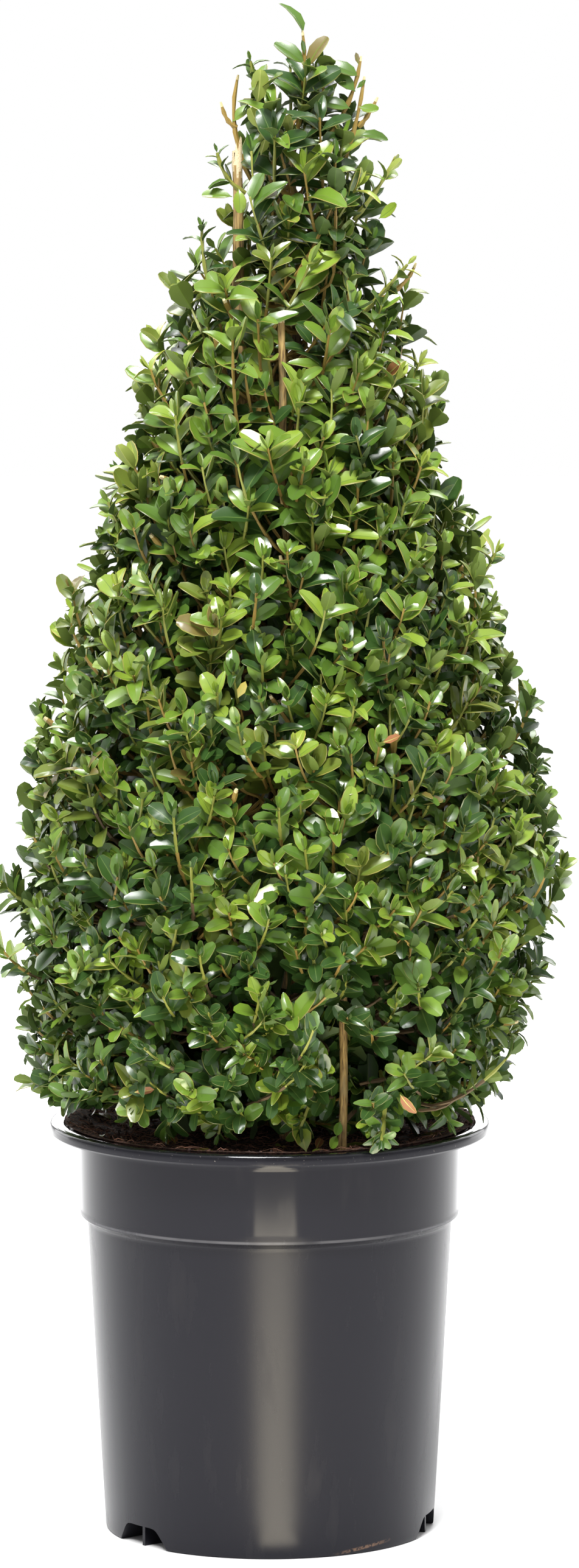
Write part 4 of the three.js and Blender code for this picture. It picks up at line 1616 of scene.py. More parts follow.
LONE_SHOOTS: dict[str, tuple[Shoot, ...]] = {
    "tip": (
        Shoot((16, 0, 840), (23, -2, 872), (20, -3, 899)),
        Shoot((4, -4, 835), (-9, -8, 860), (-11, -10, 884), 16),
        Shoot((34, 0, 838), (50, -4, 858), (54, -6, 884)),
        Shoot((-14, -8, 806), (-27, -9, 812), (-31, -8, 830), 13),
        Shoot((-10, -4, 812), (-26, -8, 842), (-19, -8, 873)),
        Shoot((-19, -7, 845), (-25, -8, 846), (-28, -8, 857)),
        Shoot((40, 0, 812), (52, -6, 842), (56, -7, 872)),
        Shoot((53, -5, 845), (58, -6, 850), (63, -6, 860)),
        Shoot((50, -4, 790), (64, -8, 806), (72, -8, 822), 15, Tone.STRAW),
    ),
    "shoulder": (
        Shoot((56, -10, 735), (70, -14, 750), (82, -14, 764), 15, Tone.STRAW),
        Shoot((60, -6, 740), (80, -10, 748), (86, -10, 762)),
        Shoot((-34, -10, 742), (-40, -14, 764), (-40, -15, 786), 12),
    ),
    "belly_1": (
        Shoot((20, -50, 268), (30, -68, 276), (38, -80, 290), 19, Tone.DEEP),
        Shoot((62, -50, 266), (60, -66, 272), (54, -80, 282), 20, Tone.DEEP),
        Shoot((40, -50, 280), (46, -66, 296), (47, -80, 314), 19, Tone.DEEP),
        Shoot((24, -54, 286), (28, -72, 300), (32, -84, 318), 18),
        Shoot((64, -84, 280), (62, -104, 277), (58, -112, 262), 14, Tone.FRESH),
        Shoot((30, -104, 300), (33, -128, 303), (26, -138, 301), 12, Tone.LIME),
        Shoot((66, -76, 290), (70, -100, 282), (64, -118, 258), 16),
        Shoot((30, -80, 290), (26, -94, 280), (18, -100, 259), 14, Tone.DEEP),
        Shoot((-20, -80, 290), (-26, -96, 280), (-30, -100, 256), 16, Tone.DEEP),
        Shoot((66, -90, 286), (70, -112, 276), (66, -122, 256), 13, Tone.DEEP),
        Shoot((96, -62, 292), (106, -68, 280), (106, -70, 259), 15),
    ),
    "belly_5": (
        Shoot((-50, -74, 290), (-56, -88, 282), (-60, -92, 258), 16, Tone.DEEP),
        Shoot((-80, -60, 290), (-84, -68, 284), (-82, -72, 262), 16),
    ),
}

LONE_LEAVES: dict[str, tuple[Leaf, ...]] = {
    "tip": (
        Leaf((20, -3, 900), (-0.26, -0.1, 0.96), (0.75, -0.6, 0.1), 21, Shape.LANCE),
        Leaf((21, -3, 882), (-0.74, -0.1, 0.67), (0.3, -0.8, 0.5), 23, Shape.OVAL),
        Leaf((53, -6, 875), (-0.85, -0.2, 0.48), (0.2, -0.8, 0.5), 19, Shape.OVAL),
        Leaf((51, -6, 866), (-0.7, -0.1, 0.7), (0.4, -0.9, 0.2), 19, Shape.OVAL),
        Leaf((48, -5, 856), (-0.9, -0.2, 0.3), (0.2, -0.8, 0.5), 19, Shape.OVAL),
        Leaf((53, -6, 882), (-0.3, -0.2, 0.93), (0.2, -0.9, 0.3), 8, Shape.BUD, Tone.BRONZE),
        Leaf((52, -6, 868), (0.75, -0.2, 0.6), (-0.2, -0.9, 0.3), 8, Shape.BUD),
        Leaf((54, -8, 840), (1.0, -0.1, 0.16), (0.0, -0.8, 0.6), 16, Shape.LANCE),
        Leaf((53, -8, 857), (0.8, -0.2, -0.2), (0.1, -0.9, 0.4), 14, Shape.CUPPED, Tone.MID),
        Leaf((65, -9, 791), (0.82, -0.15, 0.52), (-0.3, -0.9, 0.4), 15, Shape.CUPPED, Tone.FRESH),
        Leaf((-22, -8, 848), (0.62, -0.1, 0.7), (-0.5, -0.8, 0.4), 15, Shape.OVAL, Tone.MID),
        Leaf((-22, -9, 812), (-0.99, -0.1, 0.1), (0.1, -0.8, 0.6), 15, Shape.LANCE),
        Leaf((23, -3, 880), (0.4, -0.1, 0.91), (-0.7, -0.7, 0.3), 23, Shape.OVAL, Tone.BRONZE),
        Leaf((21, -4, 888), (-0.3, -0.2, 0.9), (0.5, -0.8, 0.2), 9, Shape.BUD),
        Leaf((-7, -16, 859), (0.14, -0.1, 0.98), (0.2, 0.9, 0.1), 22, Shape.OVAL, Tone.LIME),
        Leaf((-6, -18, 844), (-0.35, -0.15, 0.92), (0.1, 0.9, 0.1), 15, Shape.OVAL, Tone.LIME),
        Leaf((-5, -22, 829), (0.25, -0.15, 0.95), (-0.1, 0.9, 0.1), 16, Shape.OVAL, Tone.LIME),
        Leaf((13, -22, 841), (-0.25, -0.2, 0.95), (-0.2, 0.9, 0.1), 13, Shape.OVAL, Tone.LIME),
        Leaf((-22, -10, 804), (-0.98, -0.12, 0.2), (0.1, -0.7, 0.7), 18, Shape.OVAL, Tone.MID),
        Leaf((-18, -22, 809), (0.06, -0.45, -0.88), (0.0, -0.9, 0.4), 14, Shape.BROAD, Tone.FRESH),
    ),
    "belly_1": (
        Leaf((42, -101, 264), (-0.3, -0.55, -0.75), (0.1, -0.9, 0.2), 11, Shape.CUPPED),
        Leaf((40, -103, 256), (-0.4, -0.6, -0.7), (0.2, -0.9, 0.3), 11, Shape.CUPPED, Tone.MID),
        Leaf((77, -120, 283), (0.55, -0.2, -0.8), (-0.3, -0.9, 0.2), 14, Shape.LANCE, Tone.DRY),
    ),
    "belly_5": (
        Leaf((-79, -118, 284), (0.98, -0.1, 0.1), (0.0, -0.9, 0.4), 13, Shape.BUD, Tone.DRY),
    ),
    "waist_4": (
        Leaf((66, -131, 492), (0.9, -0.2, 0.3), (0.1, -0.8, 0.5), 13, Shape.BUD, Tone.DRY),
        Leaf((-18, -137, 519), (0.35, -0.3, 0.85), (0.2, -0.9, 0.3), 13, Shape.BUD, Tone.STRAW),
    ),
    "shoulder": (
        Leaf((68, -52, 700), (0.7, -0.3, 0.55), (-0.2, -0.9, 0.3), 16, Shape.CUPPED, Tone.DRY),
    ),
}


@dataclass(frozen=True)
class Fallen:
    """A leaf on the compost, in millimetres; one with a large rise stands on edge."""

    x: float
    y: float
    tone: Tone
    size: float
    rise: float


FALLEN = (
    Fallen(22, -104, Tone.LIME, 22, 2.6),
    Fallen(-46, -78, Tone.STRAW, 18, 0.1),
    Fallen(-100, -50, Tone.LIME, 10, 0.3),
    Fallen(-60, -66, Tone.DRY, 11, 0.4),
    Fallen(-56, -66, Tone.DRY, 9, 0.5),
    Fallen(-96, 30, Tone.BRONZE, 16, 0.3),
    Fallen(28, -80, Tone.DRY, 10, 0.9),
    Fallen(25, -110, Tone.LIME, 8, 0.3),
    Fallen(70, -60, Tone.DRY, 16, 0.2),
    Fallen(90, -30, Tone.BRONZE, 14, 0.2),
    Fallen(-64, -52, Tone.DARK, 14, 0.9),
)


@dataclass
class Foliage:
    """The leafy twigs of every mass, grown on from the limbs."""

    crown: Crown
    limbs: Limbs
    seed: int = 11
    climb: Pair = (2.0, 66.0)
    insets: Pair = (0.006, 0.024)
    strays: float = 0.05
    golden: float = 0.618034
    shoot_internodes: float = 6.4
    shoot_steps: int = 6
    sprays_per_fork: int = 6
    fork_share: float = 0.80
    hem_height: float = 0.260
    spreads: tuple[float, ...] = (13, 27, 36, 42, 48, 54, 60)
    sizes: tuple[float, ...] = (0.50, 0.80, 1.0, 1.0, 0.96, 0.92, 0.88)
    pair_turns: Pair = (-56, 56)
    forward_spread: float = 26.0
    missing: float = 0.06
    inner_from: int = 3
    loose_from: float = 0.70
    upright_from: float = 0.68
    stubs: float = 0.07
    shades: tuple[Tone, ...] = (Tone.DEEP, Tone.DARK, Tone.MID, Tone.FRESH)
    side_tones: tuple[Tone, ...] = (Tone.LIME, Tone.OLIVE, Tone.FRESH, Tone.FRESH)
    old_every: int = 7
    old_insets: Pair = (0.045, 0.085)
    old_leaf: float = 0.026
    litter: int = 26
    leaf_gap: float = 0.0012
    litter_tones: tuple[Tone, ...] = (Tone.DRY, Tone.BRONZE, Tone.STRAW, Tone.DARK)
    openings: tuple[Opening, ...] = (
        Opening(0.044, 0.262, 0.322, 0.0070, -0.086),
        Opening(0.007, 0.690, 0.735, 0.0040, -0.052),
        Opening(-0.018, 0.803, 0.842, 0.0045, 0.010),
    )

    def __post_init__(self) -> None:
        """Seeds the growth."""
        self.rng = np.random.default_rng(self.seed)

    def masses(self) -> list[Mass]:
        """The masses as wedges of height and bearing, each wedge with its bough."""
        made = []
        for ring in RINGS:
            for i in range(ring.wedges):
                bough = self.limbs.bough_of(ring, i, self.crown)
                sweep = math.tau / ring.wedges
                made.append(Mass(f"{ring.name}_{i + 1}", ring.low, ring.high, ring.start(i), sweep, bough))
        return [*made, Mass("shoulder", 0.640, 0.780), Mass("tip", 0.780, 0.922)]

    def climb_at(self, height: float) -> float:
        """How steeply the twigs at a height climb: nearly level in the skirt, upright at the top."""
        return math.radians(float(np.interp(height, CAD_CROWN, self.climb)))

    @staticmethod
    def zone_value(height: float, name: str) -> float:
        """A number of the zones, blended between their heights."""
        heights, values = zip(*((zone.height, getattr(zone, name)) for zone in ZONES))
        return float(np.interp(height, heights, values))

    def _pick(self, tones: Sequence[Tone], weights: Sequence[float] | None = None) -> Tone:
        """A tone drawn from several, evenly or by weight."""
        chances = None if weights is None else np.array(weights) / np.sum(weights)
        return Tone(int(self.rng.choice([int(tone) for tone in tones], p=chances)))

    def tone_at(self, place: Vector3) -> Tone:
        """A spray's colour, drawn from a zone near its height; high at the sides it is often pale and young.

        Args:
            place: the spray's tip.

        Returns:
            The tone.
        """
        height = float(place[2])
        aside = abs(place[0] - self.crown.middle(height)) / self.crown.radius(height)
        if self.rng.random() < (aside - 0.72) * 2.4 * min(1.0, max(0.15, (height - 0.45) * 4)):
            return self._pick(self.side_tones)
        near = min(ZONES, key=lambda zone: abs(zone.height - height + self.rng.normal(0, 0.03)))
        return self._pick(list(near.tones), list(near.tones.values()))

    def tips_of(self, mass: Mass) -> list[Pair]:
        """Where a mass's sprays end, spread evenly over its share of the clipped surface.

        Args:
            mass: the mass.

        Returns:
            The bearing and the height of each tip.
        """
        heights = np.linspace(mass.low, min(mass.high, self.crown.rows[-1][0]), 80)
        rates = [self.crown.radius(z) / self.zone_value(z, "spacing") ** 2 for z in heights]
        steps = np.concatenate([[0.0], np.cumsum((np.array(rates[1:]) + rates[:-1]) / 2 * np.diff(heights))])
        count = round(float(steps[-1]) * mass.sweep)
        tips = []
        for i in range(count):
            height = float(np.interp((i + 0.5) / count * steps[-1], steps, heights))
            turn = mass.start + mass.sweep * ((0.5 + i * self.golden) % 1)
            jitter = self.rng.normal(0, 0.005, 2)
            tips.append((turn + jitter[0] / max(0.02, self.crown.radius(height)), height + jitter[1]))
        return tips

    def grow(self, mass: Mass, leaves: LeafCloud, twigs: TwigCloud) -> None:
        """Grows a mass: branches from its limb out to forks, and from each fork twigs that carry sprays.

        Args:
            mass: the mass.
            leaves: gets its leaves.
            twigs: gets its wood.
        """
        sprays = [self._spray_path(*tip) for tip in self.tips_of(mass)]
        if mass.low < self.crown.rows[0][0] + 0.01:
            sprays += self._underside(mass)
        sprays = [path for path in sprays if not any(self._hides(point) for point in path)]
        forks = self._forks(np.array([path[0] for path in sprays]))
        for fork in forks:
            self._branch(mass, fork, twigs)
        for path in sprays:
            self._twig(forks, path, twigs)
            self._leaves_on(path, leaves)
            if self.rng.random() < self.stubs * (0.4 if path[-1][2] < 0.6 else 1.6):
                self._stub(path, twigs)
        if mass.high < self.loose_from:
            for azimuth, height in self.tips_of(mass)[:: self.old_every]:
                tip = self.crown.surface(azimuth, height, self.rng.uniform(*self.old_insets))
                path = self._path_back_from(tip, azimuth, height, 30)
                self._twig(forks, path, twigs)
                self._old_leaves(path, leaves)

    def _old_leaves(self, path: Path, leaves: LeafCloud) -> None:
        """Old leaves at all angles on a shoot deep inside the crown, which close the view through it; their
        darkest tone is partly painted shade for the crown's dim inside.
        """
        for point in path[1:]:
            for _ in range(2):
                along = unit(self.rng.normal(0, 1, 3))
                if not self._leaf_hides(point, along * self.old_leaf):
                    facing = unit(self.rng.normal(0, 1, 3))
                    # The darkest tone: partly the colour of old leaves, partly painted shade deep inside the
                    # crown.
                    leaves.add(point, along, facing, self.old_leaf, Shape.INNER, Tone.DEEP)

    def _hides(self, point: Vector3) -> bool:
        """Whether a leaf or a twig at a point would hide a stem."""
        return any(opening.hides(point) for opening in self.openings)

    def _leaf_hides(self, root: Vector3, reach: Vector3) -> bool:
        """Whether a leaf from a root would hide a stem."""
        return any(self._hides(root + reach * share) for share in (0.1, 0.5, 1))

    def _spray_path(self, azimuth: float, height: float) -> Path:
        """A shoot's axis to a tip a little inside the clipped surface, or now and then outside it."""
        inset = self.rng.uniform(*self.insets)
        if self.rng.random() < self.strays:
            inset = -self.rng.uniform(0, self.insets[0])
        tip = self.crown.surface(azimuth, height, inset)
        return self._path_back_from(tip, azimuth, height, self.zone_value(height, "lift"))

    def _path_back_from(self, tip: Vector3, azimuth: float, height: float, lift: float) -> Path:
        """A shoot's axis, bending upwards towards its tip.

        Args:
            tip: where it ends.
            azimuth: roughly its bearing.
            height: the height whose climb and length it has.
            lift: how many degrees its root climbs more steeply than its tip.

        Returns:
            Points from its root to its tip.
        """
        outward = on_bearing(azimuth + self.rng.normal(0, 0.40), 1, 0)
        climb = self.climb_at(height) + self.rng.normal(0, 0.17)
        step = self.zone_value(height, "internode") * self.shoot_internodes / self.shoot_steps
        path = [tip]
        for i in range(self.shoot_steps):
            angle = climb + math.radians(lift) * (1 - (i + 0.5) / self.shoot_steps)
            path.append(path[-1] - (outward * math.cos(angle) + UP * math.sin(angle)) * step)
        lowest = self.hem(azimuth)
        return [np.array([p[0], p[1], max(p[2], lowest)]) for p in reversed(path)]

    def hem(self, azimuth: float) -> float:
        """The height of the crown's ragged lower edge, raised at the front and at the left.

        Args:
            azimuth: the bearing from the front.

        Returns:
            The height.
        """
        wave = 0.005 * math.sin(7 * azimuth + 1) + 0.004 * math.sin(17 * azimuth + 2)
        left = 0.010 * math.exp(-((math.remainder(azimuth + 1.05, math.tau) / 0.55) ** 2))
        return self.hem_height + 0.006 * abs(math.cos(azimuth)) + left + wave

    def _underside(self, mass: Mass) -> list[Path]:
        """Short level sprays that close the crown's underside over the pot."""
        made = []
        for _ in range(round(14 * mass.sweep)):
            azimuth = mass.start + mass.sweep * self.rng.random()
            radius = self.rng.uniform(0.060, 0.112)
            tip = on_bearing(azimuth, radius, self.hem(azimuth) + self.rng.uniform(0.006, 0.026))
            made.append(self._path_back_from(tip, azimuth, 0.25, 12))
        return made

    def _forks(self, roots: np.ndarray) -> np.ndarray:
        """Where the twigs of neighbouring sprays part: a few rounds of grouping, then a little inwards.

        Args:
            roots: the sprays' roots.

        Returns:
            The forks.
        """
        count = max(1, len(roots) // self.sprays_per_fork)
        forks = roots[self.rng.choice(len(roots), count, replace=False)]
        for _ in range(6):
            nearest = np.argmin(np.linalg.norm(roots[:, None] - forks[None], axis=2), axis=1)
            groups = [roots[nearest == i] for i in range(count)]
            forks = np.array([g.mean(axis=0) if len(g) else old for g, old in zip(groups, forks)])
        for fork in forks:
            axis = np.array([self.crown.middle(fork[2]), 0.0])
            fork[:2] = axis + (fork[:2] - axis) * self.fork_share
            fork[2] = max(fork[2] - 0.012, self.hem_height - 0.004)
        return forks

    def _branch(self, mass: Mass, fork: Vector3, twigs: TwigCloud) -> None:
        """A branch from the mass's bough or the nearest stem out to a fork.

        Args:
            mass: the mass.
            fork: where the branch ends.
            twigs: gets the branch.
        """
        reach = math.hypot(fork[0], fork[1])
        foot_height = max(self.hem_height + 0.002, fork[2] - 0.3 * reach - 0.022)
        starts = [self.limbs.towards(math.atan2(fork[0], -fork[1]), foot_height, reach)]
        if mass.bough:
            starts += [mass.bough.axis(t) for t in (0.45, 0.7, 0.98)]
        start = min(starts, key=lambda point: length(point - fork))
        middle = start + (fork - start) * 0.5 + UP * self.rng.uniform(-0.006, 0.002)
        middle = middle + self.rng.normal(0, 0.003, 3)
        twigs.add([bend(start, middle, fork, t) for t in np.linspace(0, 1, 7)], 0.0021, 0.0014, Wood.BRANCH)

    def _twig(self, forks: np.ndarray, path: Path, twigs: TwigCloud) -> None:
        """A twig from the nearest fork to a shoot's root, and the shoot, woody at first.

        Args:
            forks: the mass's forks.
            path: the shoot's axis.
            twigs: gets both.
        """
        fork = forks[int(np.argmin(np.linalg.norm(forks - path[0], axis=1)))]
        control = path[0] - unit(path[1] - path[0]) * 0.4 * length(path[0] - fork)
        old = Wood.TWIG if path[-1][2] > self.rng.uniform(0.33, 0.50) else Wood.BRANCH
        twigs.add([bend(fork, control, path[0], t) for t in (0, 0.35, 0.7, 1)], 0.0012, 0.0010, old)
        young = Wood.TWIG if self.rng.random() < 0.35 else Wood.SHOOT
        half = self.shoot_steps // 2
        twigs.add(path[: half + 1], 0.0010, 0.0008, old, 0.45)
        twigs.add(path[half:], 0.0008, 0.0006, young, 0.45)

    def _stub(self, path: Path, twigs: TwigCloud) -> None:
        """A clipped twig beside a shoot: a knobbly woody piece that ends in a pale cut."""
        start = path[2]
        heading = unit(path[-1] - start + self.rng.normal(0, 0.012, 3))
        span = length(path[-1] - start) * self.rng.uniform(0.75, 1.05)
        points = [start + heading * span * t for t in (0, 0.3, 0.6, 0.85, 0.95)]
        twigs.add(points, 0.0013, 0.0013, Wood.TWIG, 0.35)
        twigs.add([points[-1], points[-1] + heading * 0.0022], 0.0014, 0.0011, Wood.CUT)

    def _leaves_on(self, path: Path, leaves: LeafCloud, lone: Shoot | None = None) -> None:
        """Leaves in opposite pairs along a shoot, each pair turned from the last, the smallest at its tip.

        Args:
            path: the shoot's axis.
            leaves: gets the leaves.
            lone: the shoot's own rule, if it has one; its leaves may leave the crown.
        """
        height = float(path[-1][2])
        tone = lone.tone if lone else self.tone_at(path[-1])
        usual = lone.leaf / 1000 if lone else self.zone_value(height, "leaf")
        size = usual * float(np.clip(self.rng.normal(1, 0.13), 0.72, 1.26))
        internode = self.zone_value(height, "internode") * float(self.rng.uniform(0.88, 1.12))
        cupping = self.zone_value(height, "cupping")
        outward = unit(np.array([path[-1][0] - self.crown.middle(height), path[-1][1], 0.0]))
        distances = np.concatenate([[0.0], np.cumsum([length(b - a) for a, b in zip(path[1:], path)])])
        left = float(distances[-1])
        roll = self.rng.uniform(-0.75, 0.75)
        pair_turn = math.radians(self.rng.choice(self.pair_turns))
        bare_over = 0.5 if height < self.loose_from else 0.2
        for pair, share in enumerate(self.sizes):
            if left < 0.002:
                break
            where, heading = self._along(path, distances, left)
            facing = unit(heading * cupping + outward * 0.9 + UP * 0.3 + self.rng.normal(0, 0.26, 3))
            side = unit(np.cross(heading, outward + UP * 0.01))
            turn = roll + (pair_turn if pair % 2 else 0.0) + self.rng.normal(0, 0.24)
            for sign in (1, -1):
                across = turned_about(side * sign, heading, turn)
                forward = max(0.0, float(np.dot(across, outward)))
                if self.rng.random() < self.missing + max(0.0, forward - bare_over) and pair > 1:
                    continue
                degrees = self.spreads[pair] + self.forward_spread * forward + self.rng.normal(0, 10)
                spread = math.radians(degrees)
                along = heading * math.cos(spread) + across * math.sin(spread)
                up = unit(facing + heading * (0.4 + forward) - across * (0.35 * cupping + 0.6 * forward))
                reach = size * share * float(np.clip(self.rng.normal(1, 0.08), 0.8, 1.18))
                shape = self._shape(min(pair, 3) if lone else pair, height)
                leaf_tone = self._aged_and_shaded(tone, pair)
                if not lone:
                    along, reach = self._fitted(where, along, reach)
                if reach:
                    leaves.add(where, along, up, reach, shape, leaf_tone)
            left -= internode * (0.35 if pair == 0 else 0.62 if pair == 1 else 1.0)

    @staticmethod
    def _along(path: Path, distances: np.ndarray, distance: float) -> tuple[Vector3, Vector3]:
        """The point and the heading of a path at a distance from its root."""
        i = int(np.clip(np.searchsorted(distances, distance) - 1, 0, len(path) - 2))
        share = (distance - distances[i]) / max(1e-6, distances[i + 1] - distances[i])
        return path[i] + (path[i + 1] - path[i]) * share, unit(path[i + 1] - path[i])

    def _fitted(self, root: Vector3, along: Vector3, size: float) -> tuple[Vector3, float]:
        """Fits a leaf into the crown: it rises clear of the hem, and is shorter where there is less room.

        Args:
            root: where the leaf starts.
            along: its heading.
            size: its length.

        Returns:
            Its heading, and its length or 0 if it has no room or would hide a stem.
        """
        lowest = self.hem(math.atan2(root[0], -root[1])) - 0.006
        if (root + along * size)[2] < lowest:
            along = unit(np.array([along[0], along[1], max(along[2], 0.05)]))
        if self._leaf_hides(root, along * size):
            return along, 0.0
        for share in (1.0, 0.75, 0.5):
            end = root + along * size * share
            inside = self.crown.depth(end) >= -0.012 and end[2] <= self.crown.rows[-1][0] + 0.002
            if inside and end[2] >= lowest:
                return along, size * share
        return along, 0.0

    def _shape(self, pair: int, height: float) -> Shape:
        """A leaf's shape, drawn by its place on the shoot and in the crown.

        Args:
            pair: its pair, counted from the tip.
            height: the shoot's height.

        Returns:
            The shape.
        """
        if pair == 0:
            return Shape.BUD
        if pair >= self.inner_from and height < self.loose_from:
            return Shape.INNER
        weights = (0.36, 0.22, 0.24, 0.18) if height < self.upright_from else (0.26, 0.12, 0.50, 0.12)
        return Shape(int(self.rng.choice(4, p=weights)))

    def _aged_and_shaded(self, tone: Tone, pair: int) -> Tone:
        """A leaf's colour: its spray's at the tip, and a shade or two darker towards the root, as older
        leaves and as painted shade in the gaps inside the crown.

        Args:
            tone: the spray's tone.
            pair: the leaf's pair, counted from the tip.

        Returns:
            The leaf's tone.
        """
        if tone == Tone.BRONZE:
            return tone if pair < 4 and self.rng.random() < 0.6 else Tone.OLIVE
        if tone in (Tone.LIME, Tone.STRAW):
            tone = Tone.FRESH if pair >= 2 else Tone.LIME if self.rng.random() < 0.7 else tone
        if tone not in self.shades:
            return tone
        # Darker towards the root: partly older leaves, partly painted shade for the dark gaps between sprays.
        older = (pair >= 2) * (self.rng.random() < 0.55) + (pair >= 4)
        older += int(self.rng.choice((-1, 0, 1), p=(0.16, 0.62, 0.22)))
        return self.shades[int(np.clip(self.shades.index(tone) - older, 0, len(self.shades) - 1))]

    def lone_shoots(self, mass: Mass, leaves: LeafCloud, twigs: TwigCloud) -> None:
        """Adds the shoots and leaves that stand out of a mass or hang from its hem by themselves.

        Args:
            mass: the mass.
            leaves: gets its leaves.
            twigs: gets its wood.
        """
        for shoot in LONE_SHOOTS.get(mass.name, ()):
            foot, elbow, tip = (np.array(point) / 1000 for point in (shoot.foot, shoot.elbow, shoot.tip))
            path = [bend(foot, elbow, tip, t) for t in np.linspace(0, 1, 7)]
            twigs.add(path, 0.0012, 0.0008, Wood.SHOOT if shoot.leaf else Wood.TWIG, 0.6)
            if shoot.leaf:
                self._leaves_on(path, leaves, shoot)
            else:
                twigs.add([tip, tip + unit(tip - elbow) * 0.003], 0.0010, 0.0006, Wood.CUT)
        for leaf in LONE_LEAVES.get(mass.name, ()):
            root, along, facing = np.array(leaf.root) / 1000, np.array(leaf.along), np.array(leaf.facing)
            leaves.add(root, along, facing, leaf.size / 1000, leaf.shape, leaf.tone)

    def fallen(self) -> LeafCloud:
        """Drops leaves on the compost: the few that lie or stand at set places, and a scatter.

        Returns:
            Their cloud.
        """
        cloud, compost = LeafCloud(), Compost()
        for leaf in FALLEN:
            angle = self.rng.uniform(0, math.tau)
            along = unit(np.array([math.cos(angle), math.sin(angle), leaf.rise]))
            facing = UP + np.array([0.0, -2.0 if leaf.rise > 0.8 else 0.0, 0.0])
            root = compost.on_top(leaf.x / 1000, leaf.y / 1000, self.leaf_gap)
            cloud.add(root, along, facing, leaf.size / 1000, Shape.OVAL, leaf.tone)
        for _ in range(self.litter):
            radius, azimuth = 0.114 * math.sqrt(self.rng.uniform(0.1, 1)), self.rng.uniform(0, math.tau)
            x, y, _ = on_bearing(azimuth, radius, 0)
            angle = self.rng.uniform(0, math.tau)
            along = unit(np.array([math.cos(angle), math.sin(angle), 0.12]))
            tone = self._pick(self.litter_tones)
            facing = UP + self.rng.normal(0, 0.3, 3)
            size = self.rng.uniform(0.008, 0.017)
            cloud.add(compost.on_top(x, y, self.leaf_gap), along, facing, size, Shape.OVAL, tone)
        return cloud


# ---- studio


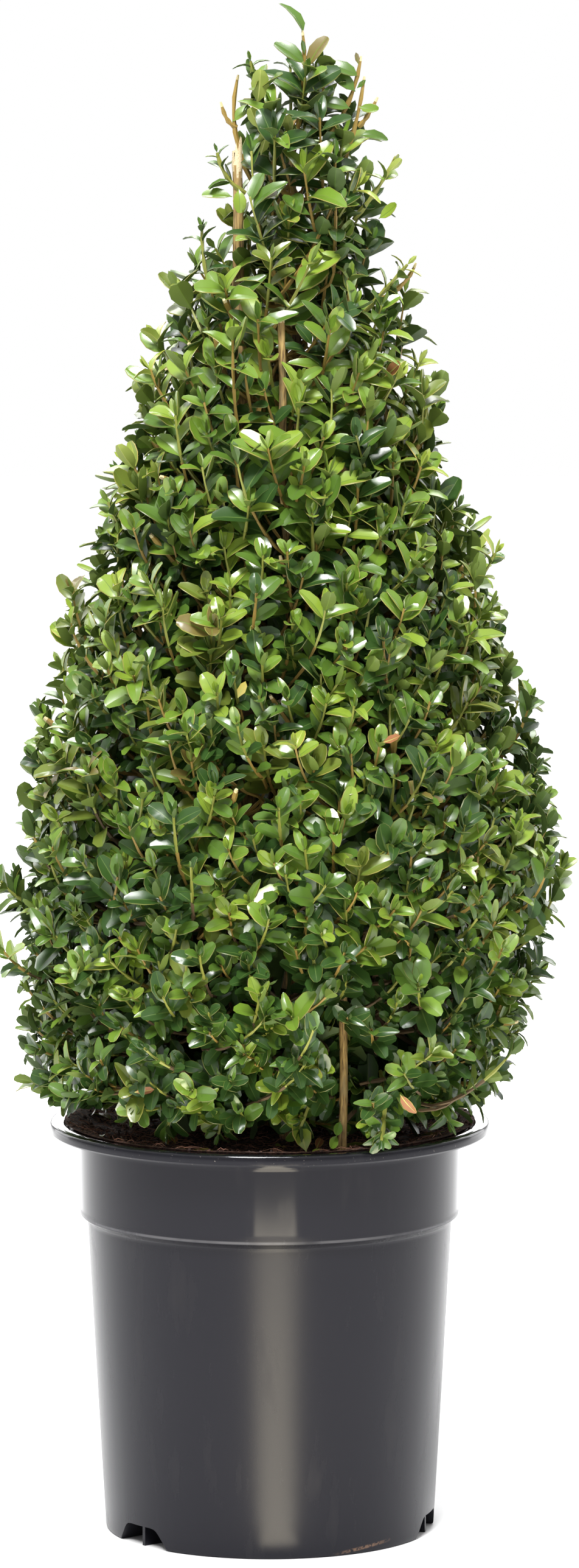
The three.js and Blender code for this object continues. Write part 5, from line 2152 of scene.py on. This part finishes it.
@dataclass
class Studio:
    """A pale floor under soft light, and the camera at the front."""

    camera_place: Place = (0.012, -4.5, 0.995)
    camera_pitch: float = 83.12
    lens: float = 173.5
    floor_tone: float = 0.93
    sky: float = 0.48
    sun_strength: float = 2.35
    sun_softness: float = 16.0
    sun_turn: Place = (36.0, 0.0, -16.0)
    streak_radiance: float = 7.8
    streak_bands: tuple[tuple[float, float, float], ...] = (
        (0.004, 0.040, 0.032), (0.040, 0.100, 0.054), (0.100, 0.200, 0.090), (0.200, 0.340, 0.140),
        (0.340, 0.470, 0.205), (0.470, 0.620, 0.270), (0.620, 0.760, 0.340),
    )
    streak_tint: Colour = (1.0, 0.91, 0.66)

    def build(self) -> None:
        """Builds the floor, the lights and the camera."""
        bpy.context.scene.view_settings.view_transform = "Standard"
        self._world()
        self._floor()
        self._camera()
        self._sun()
        self._streak()
        self._panel("overhead", (-0.05, -1.15, 2.25), (0.0, 0.0, 0.55), (0.8, 0.45), 32)
        self._panel("sweep", (0.0, 1.7, 2.4), (0.0, 2.3, 0.0), (2.6, 1.6), 80)
        self._panel("back_left", (-1.3, 1.4, 0.9), (0.0, 0.0, 0.4), (0.8, 2.2), 7)
        self._panel("back_right", (1.3, 1.4, 0.9), (0.0, 0.0, 0.4), (0.8, 2.2), 7)
        self._panel("low_back", (0.0, 1.6, 0.58), (0.0, 0.0, 0.25), (1.3, 0.36), 5)

    def _streak(self) -> None:
        """Low bright bands on the floor in front, which the pot's side mirrors as an upright streak."""
        for order, (near, far, width) in enumerate(self.streak_bands):
            middle, reach = -(near + far) / 2 - 0.112, far - near
            place = (middle * -0.06, middle, 0.003)
            watts = self.streak_radiance * math.pi * width * reach
            above = (place[0], place[1] - 0.0001, 1.0)
            self._panel(f"streak_{order}", place, above, (width, reach), watts, self.streak_tint)

    def _sun(self) -> None:
        """A wide soft light from above the front, even over the plant and the floor."""
        light = bpy.data.lights.new("soft_overhead", "SUN")
        light.energy = self.sun_strength
        light.angle = math.radians(self.sun_softness)
        linked("soft_overhead", light).rotation_euler = [math.radians(turn) for turn in self.sun_turn]

    def _world(self) -> None:
        """An even white surrounding."""
        world = bpy.data.worlds.new("studio_white")
        world.use_nodes = True
        background = world.node_tree.nodes["Background"]
        background.inputs["Color"].default_value = (1.0, 1.0, 1.0, 1.0)
        path = world.node_tree.nodes.new("ShaderNodeLightPath")
        strength = world.node_tree.nodes.new("ShaderNodeMapRange")
        strength.inputs["To Min"].default_value = self.sky
        strength.inputs["To Max"].default_value = 1.0
        world.node_tree.links.new(path.outputs["Is Camera Ray"], strength.inputs["Value"])
        world.node_tree.links.new(strength.outputs[0], background.inputs["Strength"])
        bpy.context.scene.world = world

    def _floor(self) -> None:
        """The pale floor, well past the camera's view."""
        reach = 8.0
        corners = [(-reach, -reach, 0), (reach, -reach, 0), (reach, reach, 0), (-reach, reach, 0)]
        floor = new_object("floor", corners, [(0, 1, 2, 3)])
        shader = Shader("floor_pale")
        mottle = shader.noise(3.0, 2).between(0.3, 0.7)
        tone = self.floor_tone
        colour = shader.blend(mottle * 0.2, (tone, tone, tone), (tone * 0.98, tone * 0.98, tone * 0.98))
        floor.data.materials.append(shader.finish(colour, 0.9))

    def _camera(self) -> None:
        """The camera in front, a little above the plant and looking slightly down."""
        camera = bpy.data.cameras.new("camera")
        camera.lens = self.lens
        camera.sensor_width = 36.0
        camera.clip_end = 60.0
        made = linked("camera", camera)
        made.location = self.camera_place
        made.rotation_euler = (math.radians(self.camera_pitch), 0.0, 0.0)
        bpy.context.scene.camera = made

    @staticmethod
    def _panel(name: str, place: Place, aim: Place, size: Pair, watts: float,
               tint: Colour = (1.0, 1.0, 1.0)) -> None:
        """A soft rectangular light.

        Args:
            name: its name.
            place: where it hangs.
            aim: the point it faces.
            size: its width and height.
            watts: its power.
            tint: its colour.
        """
        light = bpy.data.lights.new(name, "AREA")
        light.color = tint
        light.shape = "RECTANGLE"
        light.size, light.size_y = size
        light.energy = watts
        made = linked(name, light)
        made.location = place
        made.rotation_euler = (Vector(aim) - Vector(place)).to_track_quat("-Z", "Y").to_euler()
        made.visible_camera = False


# ---- assembly


def main() -> None:
    """Builds the pot, the compost, the limbs and the foliage, and sets the studio up."""
    logging.basicConfig(level=logging.INFO, format="%(message)s")
    pot, compost, limbs, crown = Pot(), Compost(), Limbs(), Crown()
    foliage = Foliage(crown, limbs)
    pot.build()
    compost.build(pot)
    masses = foliage.masses()
    limbs.build(masses)
    leaf_tree, twig_tree = LeafTree(), TwigTree()
    shapes = {shape: rule.build() for shape, rule in LEAF_SHAPES.items()}
    bands = {"belly": TwigCloud(), "waist": TwigCloud(), "top": TwigCloud()}
    for order, mass in enumerate(masses):
        cloud = LeafCloud()
        band = bands.get(mass.name.split("_")[0], bands["top"])
        foliage.grow(mass, cloud, band)
        foliage.lone_shoots(mass, cloud, band)
        leaves = leaf_tree.grow(cloud, f"leaves_{mass.name}", shapes, order)
        hand_over(leaves, "foliage", f"foliage_{mass.name}")
    for name, band in bands.items():
        hand_over(twig_tree.grow(band, f"twigs_{name}", 4), "bark")
    litter = TwigCloud()
    compost.strew_fibres(litter, foliage.rng)
    hand_over(twig_tree.grow(litter, "compost_fibres", 3), "soil")
    hand_over(leaf_tree.grow(foliage.fallen(), "fallen_leaves", shapes, 99), "foliage")
    discard(*shapes.values())
    Studio().build()


if __name__ == "__main__":
    main()
